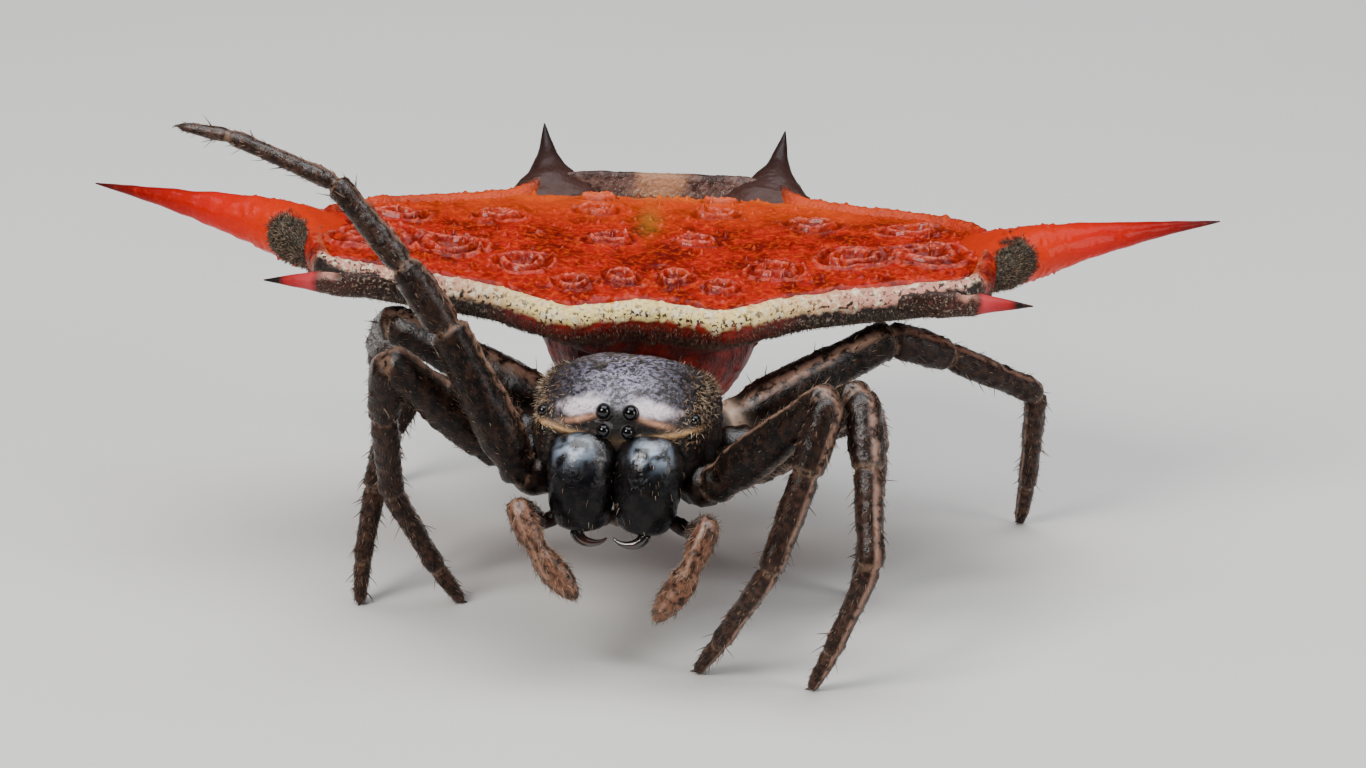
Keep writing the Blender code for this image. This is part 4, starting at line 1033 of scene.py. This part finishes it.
def clawBodies(tubes):
    # two small hooks at the end of each leg
    bodies = []
    t = np.linspace(0, 1, 12)[:, None]
    radius = 0.024 * (1 - 0.85 * t[:, 0])
    for name, tube in tubes.items():
        tip, back = tube["rings"][-1].mean(0), tube["rings"][-8].mean(0)
        way = unit(tip - back)
        side = unit(np.cross(way, (0.2, 0.1, 1.0)))
        for sign in bothSides:
            centres = tip + way * (0.10 * np.sin(t * 1.9)) + side * sign * (0.03 + 0.05 * t) - 0.05 * upright * t ** 2
            if name != raisedName:
                centres[:, 2] = np.maximum(centres[:, 2], radius)
            bodies.append(closedBody(ringsAlong(centres, side, radius, radius, 8)))
    return joined(bodies)


# bristles

def onRings(rings, row, column):
    # place and outward normal at fractional row and column of a grid of rings that wraps round
    count, sides = rings.shape[:2]
    row = np.clip(row, 0, count - 1.001)
    i, j = row.astype(int), column.astype(int) % sides
    fi, fj = (row - i)[:, None], (column - np.floor(column))[:, None]
    k = (j + 1) % sides
    a, b, c, d = rings[i, j], rings[i, k], rings[i + 1, j], rings[i + 1, k]
    place = a * (1 - fi) * (1 - fj) + b * (1 - fi) * fj + c * fi * (1 - fj) + d * fi * fj
    along = unit(c - a)
    normal = unit(np.cross(along, unit(b - a)))
    normal *= np.sign((normal * (place - rings[i].mean(1))).sum(-1, keepdims=True))
    return place, normal, along


# one hair: three rings of three corners and a tip, and where each corner lies in its patch of the unwrap
hairQuads = [(r + j, r + (j + 1) % 3, r + 3 + (j + 1) % 3, r + 3 + j) for r in (0, 3) for j in range(3)]
hairTriangles = [(2, 1, 0)] + [(6 + j, 6 + (j + 1) % 3, 9) for j in range(3)]
hairPatch = np.array([(x, y) for y in (0.0, 0.4, 0.8) for x in (0.0, 0.5, 1.0)] + [(0.5, 1.0)]) - 0.5
patchSize, floorGap = 0.003, 0.004


def hairBodies(roots, ways, bends, lengths, widths, pale, unwrap):
    # tapered hairs: the middle line is root + length (way t + bend t squared), with rings at three values of t
    count = len(roots)

    def line(s):
        s = np.array(s)[:, None]
        return roots[:, None] + lengths[:, None, None] * (ways[:, None] * s + bends[:, None] * s ** 2)

    side = unit(np.cross(ways, np.array([0.31, 0.22, 0.92])))
    up = np.cross(side, ways)
    turn = np.arange(3) * tau / 3
    around = np.cos(turn)[:, None] * side[:, None] + np.sin(turn)[:, None] * up[:, None]
    thick = widths[:, None] * np.array([1.0, 0.78, 0.45])
    rings = line([0.0, 0.38, 0.74])[:, :, None] + thick[..., None, None] * around[:, None]
    points = np.concatenate([rings.reshape(count, 9, 3), line([1.0])], axis=1)
    points[..., 2] = np.maximum(points[..., 2], floorGap)    # none goes through the floor
    starts = (np.arange(count) * 10)[:, None, None]
    marks = {"pale": np.repeat(pale, 10), "tip": np.tile(np.repeat([0, 0.4, 0.8, 1.0], [3, 3, 3, 1]), count)}
    return outward({"points": points.reshape(-1, 3), "quads": (np.array(hairQuads) + starts).reshape(-1, 4),
                    "triangles": (np.array(hairTriangles) + starts).reshape(-1, 3), "marks": marks,
                    "unwrap": (unwrap[:, None] + hairPatch * patchSize).reshape(-1, 2)})


def hairsOn(rings, tile, draw, count, rows=(0.0, 1.0), columns=(0.0, 1.0), length=(0.1, 0.2), width=0.009, lift=0.5,
            lean=1.0, droop=0.0, paleShare=0.15, keep=None):
    # hairs rooted evenly over part of a grid; each leans along the grid's rows and stands by lift. The unwrap
    # gives each grid a tile of its own, five by five
    n, m = rings.shape[:2]
    row = draw.uniform(rows[0], rows[1], count) * (n - 1)
    column = draw.uniform(columns[0], columns[1], count) * m % m
    if keep is not None:
        kept = draw.uniform(size=count) < keep(onRings(rings, row, column)[0], row / n, column / m)
        row, column = row[kept], column[kept]
    place, normal, along = onRings(rings, row, column)
    count = len(row)
    ways = unit(along * lean + normal * lift + draw.normal(size=(count, 3)) * 0.25)
    inside = (ways * normal).sum(-1, keepdims=True)
    ways = unit(ways + normal * np.clip(0.15 - inside, 0, None))
    bends = -normal * 0.22 * draw.uniform(0.3, 1.0, (count, 1)) + np.array([0.0, 0.0, -droop])
    lengths = draw.uniform(*length, count)
    pale = (draw.uniform(size=count) < paleShare) * draw.uniform(0.6, 1.0, count)
    unwrap = np.stack([(tile % 5 + 0.06 + 0.88 * column / m) / 5, (tile // 5 + 0.06 + 0.88 * row / n) / 5], -1)
    return place - normal * 0.01, ways, bends, lengths, width * draw.uniform(0.7, 1.3, count), pale, unwrap


def hairPiece(name, groups, material):
    return makePiece(name, hairBodies(*[np.concatenate(parts) for parts in zip(*groups)]), material)


# the pieces

headShell, legShell = headMaterial(), legMaterial()
jawGloss = glossMaterial("jaw_gloss", (0.003, 0.003, 0.004), (0.010, 0.008, 0.008), 0.17, 0.020)
fangGloss = glossMaterial("fang_gloss", (0.006, 0.003, 0.003), (0.040, 0.014, 0.009), 0.10, 0.006, 0.8)
softDark = glossMaterial("soft_dark", (0.020, 0.012, 0.010), (0.085, 0.050, 0.036), 0.40, 0.020, 0.40)
bristleDark = hairMaterial("bristle", (0.014, 0.008, 0.006), (0.42, 0.28, 0.18))
bristlePale = hairMaterial("bristle_pale", (0.16, 0.10, 0.06), (0.78, 0.64, 0.46))
# colors along each spine, of its streaks, and its gloss and shine where they are its own
spineColors = {
    "side": ([(0.0, (0.42, 0.022, 0.003)), (0.25, (0.60, 0.026, 0.001)), (0.50, (0.58, 0.006, 0.001)),
              (0.80, (0.26, 0.002, 0.002)), (1.0, (0.02, 0.003, 0.003))], (0.66, 0.040, 0.003)),
    "front": ([(0.0, (0.020, 0.011, 0.008)), (0.58, (0.045, 0.018, 0.014)), (0.64, (0.52, 0.045, 0.055)),
               (0.82, (0.36, 0.014, 0.018)), (0.89, (0.010, 0.006, 0.006))], (0.22, 0.05, 0.045)),
    "back": ([(0.0, (0.060, 0.022, 0.016)), (0.45, (0.035, 0.012, 0.009)), (1.0, (0.010, 0.005, 0.005))],
             (0.060, 0.028, 0.020), 0.45, 0.25),
}


def makeAbdomen():
    makePiece("abdomen_face", buildFace(), shellRedMaterial())
    rings, body = buildEdge()
    makePiece("abdomen_edge", body, shellEdgeMaterial(), ["abdomen"])
    for kind, colors in spineColors.items():
        makePiece(kind + "_spines", spineBody(kind), spineMaterial(kind + "_spine", *colors))
    return rings


def makeSkin():
    tubes = {name: legTube(name) for name in (*stance, raisedName)}
    feelers = {word: palpTube(word) for word in ("left", "right")}
    bodies = [headBody(), waistBody()]
    for name, tube in tubes.items():
        bodies.append(tubeBody(tube, legs["tones"], tube["marks"][1] + 0.05 if "leg_4" in name else None))
    bodies += [tubeBody(tube, palps["tones"]) for tube in feelers.values()]
    skin = joined(bodies)
    piece = makePiece("body_skin", skin, headShell,
                      ["prosoma", "pedicel", "palp_left", "palp_right", *tubes])
    # faces of the head come first among the quads and among the triangles, and take the head's own finish
    piece.data.materials.append(legShell)
    slots = np.ones(len(piece.data.polygons), np.int32)
    for start, kind in ((0, "quads"), (len(skin["quads"]), "triangles")):
        slots[start:start + len(bodies[0][kind])] = 0
    piece.data.polygons.foreach_set("material_index", slots)
    piece.data.update()
    return tubes, feelers


def makeFace():
    for side, word in zip(bothSides, ("left", "right")):
        makePiece("jaw_" + word, jawBody(side), jawGloss, ["chelicera_" + word])
        makePiece("fang_claw_" + word, fangBody(side), fangGloss, ["fang_" + word])
    makePiece("lip", lipBodies(), softDark, ["mouthparts"])
    makePiece("spinning_cones", spinneretBodies(), softDark, ["spinnerets"])
    eyeNodes = [f"eye_{kind}_{word}" for kind in eyePlaces for word in ("left", "right")]
    makePiece("eyes", eyeBodies(), eyeMaterial(), eyeNodes)


def makeBristles(edgeRings, tubes, feelers):
    draw = np.random.default_rng(5)
    frontGroups, hindGroups = [], []

    def underFront(place, row, column):
        return bell(np.sin(tau * column + combTurn), 0.25) * (np.cos(tau * column + combTurn) > 0)

    for tile, (name, tube) in enumerate(tubes.items()):
        start = tube["marks"][1] / tube["marks"][-1]
        groups = frontGroups if name[4] in "12" else hindGroups
        groups.append(hairsOn(tube["rings"], tile, draw, 1300, (start, 0.995), length=(0.06, 0.16), width=0.006,
                              lift=0.55, paleShare=0.16))
        groups.append(hairsOn(tube["rings"], tile, draw, 70, (start + 0.05, 0.97), length=(0.22, 0.36), width=0.011,
                              lift=1.0, paleShare=0.08))
        if name in ("leg_1_left", "leg_2_left"):
            # comb of pale bristles along the front and lower side of the thigh
            groups.append(hairsOn(tube["rings"], tile, draw, 240, (start + 0.04, start + 0.22), length=(0.20, 0.30),
                                  width=0.013, lift=1.4, lean=0.4, droop=0.1, paleShare=1.0, keep=underFront))
    for tile, tube in enumerate(feelers.values(), 8):
        frontGroups.append(hairsOn(tube["rings"], tile, draw, 750, (0.25, 0.99), length=(0.08, 0.22), width=0.006,
                                   lift=0.7, paleShare=0.45))
    hairPiece("bristles_front_legs", frontGroups, bristleDark)
    hairPiece("bristles_hind_legs", hindGroups, bristleDark)

    def frontHalf(place, row, column):
        return eased(0.9, 0.1, place[:, 1])

    rows = len(edgeRings)
    rim = hairsOn(edgeRings, 10, draw, 16000, (25 / rows, 44 / rows), length=(0.04, 0.10), width=0.007, lift=1.0,
                  lean=0.5, paleShare=0.12, keep=frontHalf)
    hairPiece("fuzz_rim", [rim], bristleDark)

    def headSides(place, row, column):
        # a pale fringe down each side edge of the head, and a few hairs elsewhere
        fringe = bell(np.sin(column * tau) - 0.50, 0.14) * eased(0.12, 0.2, row) * eased(0.8, 0.6, row)
        return 0.75 * fringe + 0.04 * (np.abs(np.cos(column * tau)) > 0.4) + 0.008

    headHair = [hairsOn(turned(headRings()[0]), 11, draw, 9000, (0.05, 0.80), (0.02, 0.48), length=(0.10, 0.22),
                        width=0.007, lift=0.8, lean=-0.7, paleShare=0.6, keep=headSides)]
    for tile, side in zip((12, 13), bothSides):
        headHair.append(hairsOn(jawRings(side), tile, draw, 70, (0.30, 0.92), length=(0.10, 0.20), width=0.005,
                                lift=0.5, paleShare=0.1))
    hairPiece("hair_head", headHair, bristlePale)

    collars = []
    for tile, side in zip((14, 15), bothSides):
        rings, _ = spineRings("side", side)

        def onCollar(place, row, column, rings=rings):
            i = np.clip((row * len(rings)).astype(int), 0, len(rings) - 1)
            return collarPatch(place, place[:, 2] - rings[i].mean(1)[:, 2])

        collars.append(hairsOn(rings, tile, draw, 9000, (0.05, 0.38), length=(0.05, 0.12), width=0.008, lift=1.0,
                               lean=0.5, paleShare=0.16, keep=onCollar))
        collars.append(hairsOn(spineRings("front", side)[0], tile + 2, draw, 500, (0.1, 0.55), length=(0.03, 0.07),
                               width=0.006, lift=1.0, lean=0.6, paleShare=0.3))
    hairPiece("fuzz_collars", collars, bristleDark)


edgeRings = makeAbdomen()
print("abdomen made")
tubes, feelers = makeSkin()
makePiece("claws", clawBodies(tubes), fangGloss)
makeFace()
print("head and legs made")
makeBristles(edgeRings, tubes, feelers)
print("bristles made")


# floor and light

studio = {
    "floorHalf": 1.5, "floorColor": (0.80, 0.79, 0.77), "floorShade": 0.97,
    "world": 0.06, "worldColor": (0.93, 0.95, 1.0, 1.0), "aim": np.array([0.0, 0.0, 4.0]),
    # place and size in mm, power, color
    "lights": {"overhead": ((10, 5, 130), (150, 110), 0.20, (0.95, 0.97, 1.0)),
               "key": ((-60, -80, 90), (45, 45), 0.14, (1.0, 0.97, 0.93)),
               "side": ((95, -50, 40), (40, 60), 0.05, (1.0, 0.98, 0.96))},
}


def makeFloor():
    half = studio["floorHalf"]
    mesh = bpy.data.meshes.new("floor")
    mesh.from_pydata([(-half, -half, 0), (half, -half, 0), (half, half, 0), (-half, half, 0)], [], [(0, 1, 2, 3)])
    paint = Paint("floor_paint")
    shade = tuple(c * studio["floorShade"] for c in studio["floorColor"])
    color = paint.layers(studio["floorColor"], (paint.patches(14.0, 0.3, 0.7, 2.0), shade))
    mesh.materials.append(paint.finish(color, 0.75))
    floor = bpy.data.objects.new("floor", mesh)
    bpy.context.scene.collection.objects.link(floor)


def makeLight(name, place, size, power, color):
    data = bpy.data.lights.new(name, "AREA")
    data.shape = "RECTANGLE"
    data.size, data.size_y = size[0] * mm, size[1] * mm
    data.energy, data.color = power, color
    place = np.array(place, float)
    back = unit(place - studio["aim"])
    right = unit(np.cross(upright, back)) if abs(back[2]) < 0.98 else across
    placed(name, data, right, np.cross(back, right), back, place)


makeFloor()
for name, settings in studio["lights"].items():
    makeLight(name, *settings)
world = bpy.data.worlds.new("studio")
world.use_nodes = True
background = world.node_tree.nodes["Background"].inputs
background["Color"].default_value, background["Strength"].default_value = studio["worldColor"], studio["world"]
bpy.context.scene.world = world
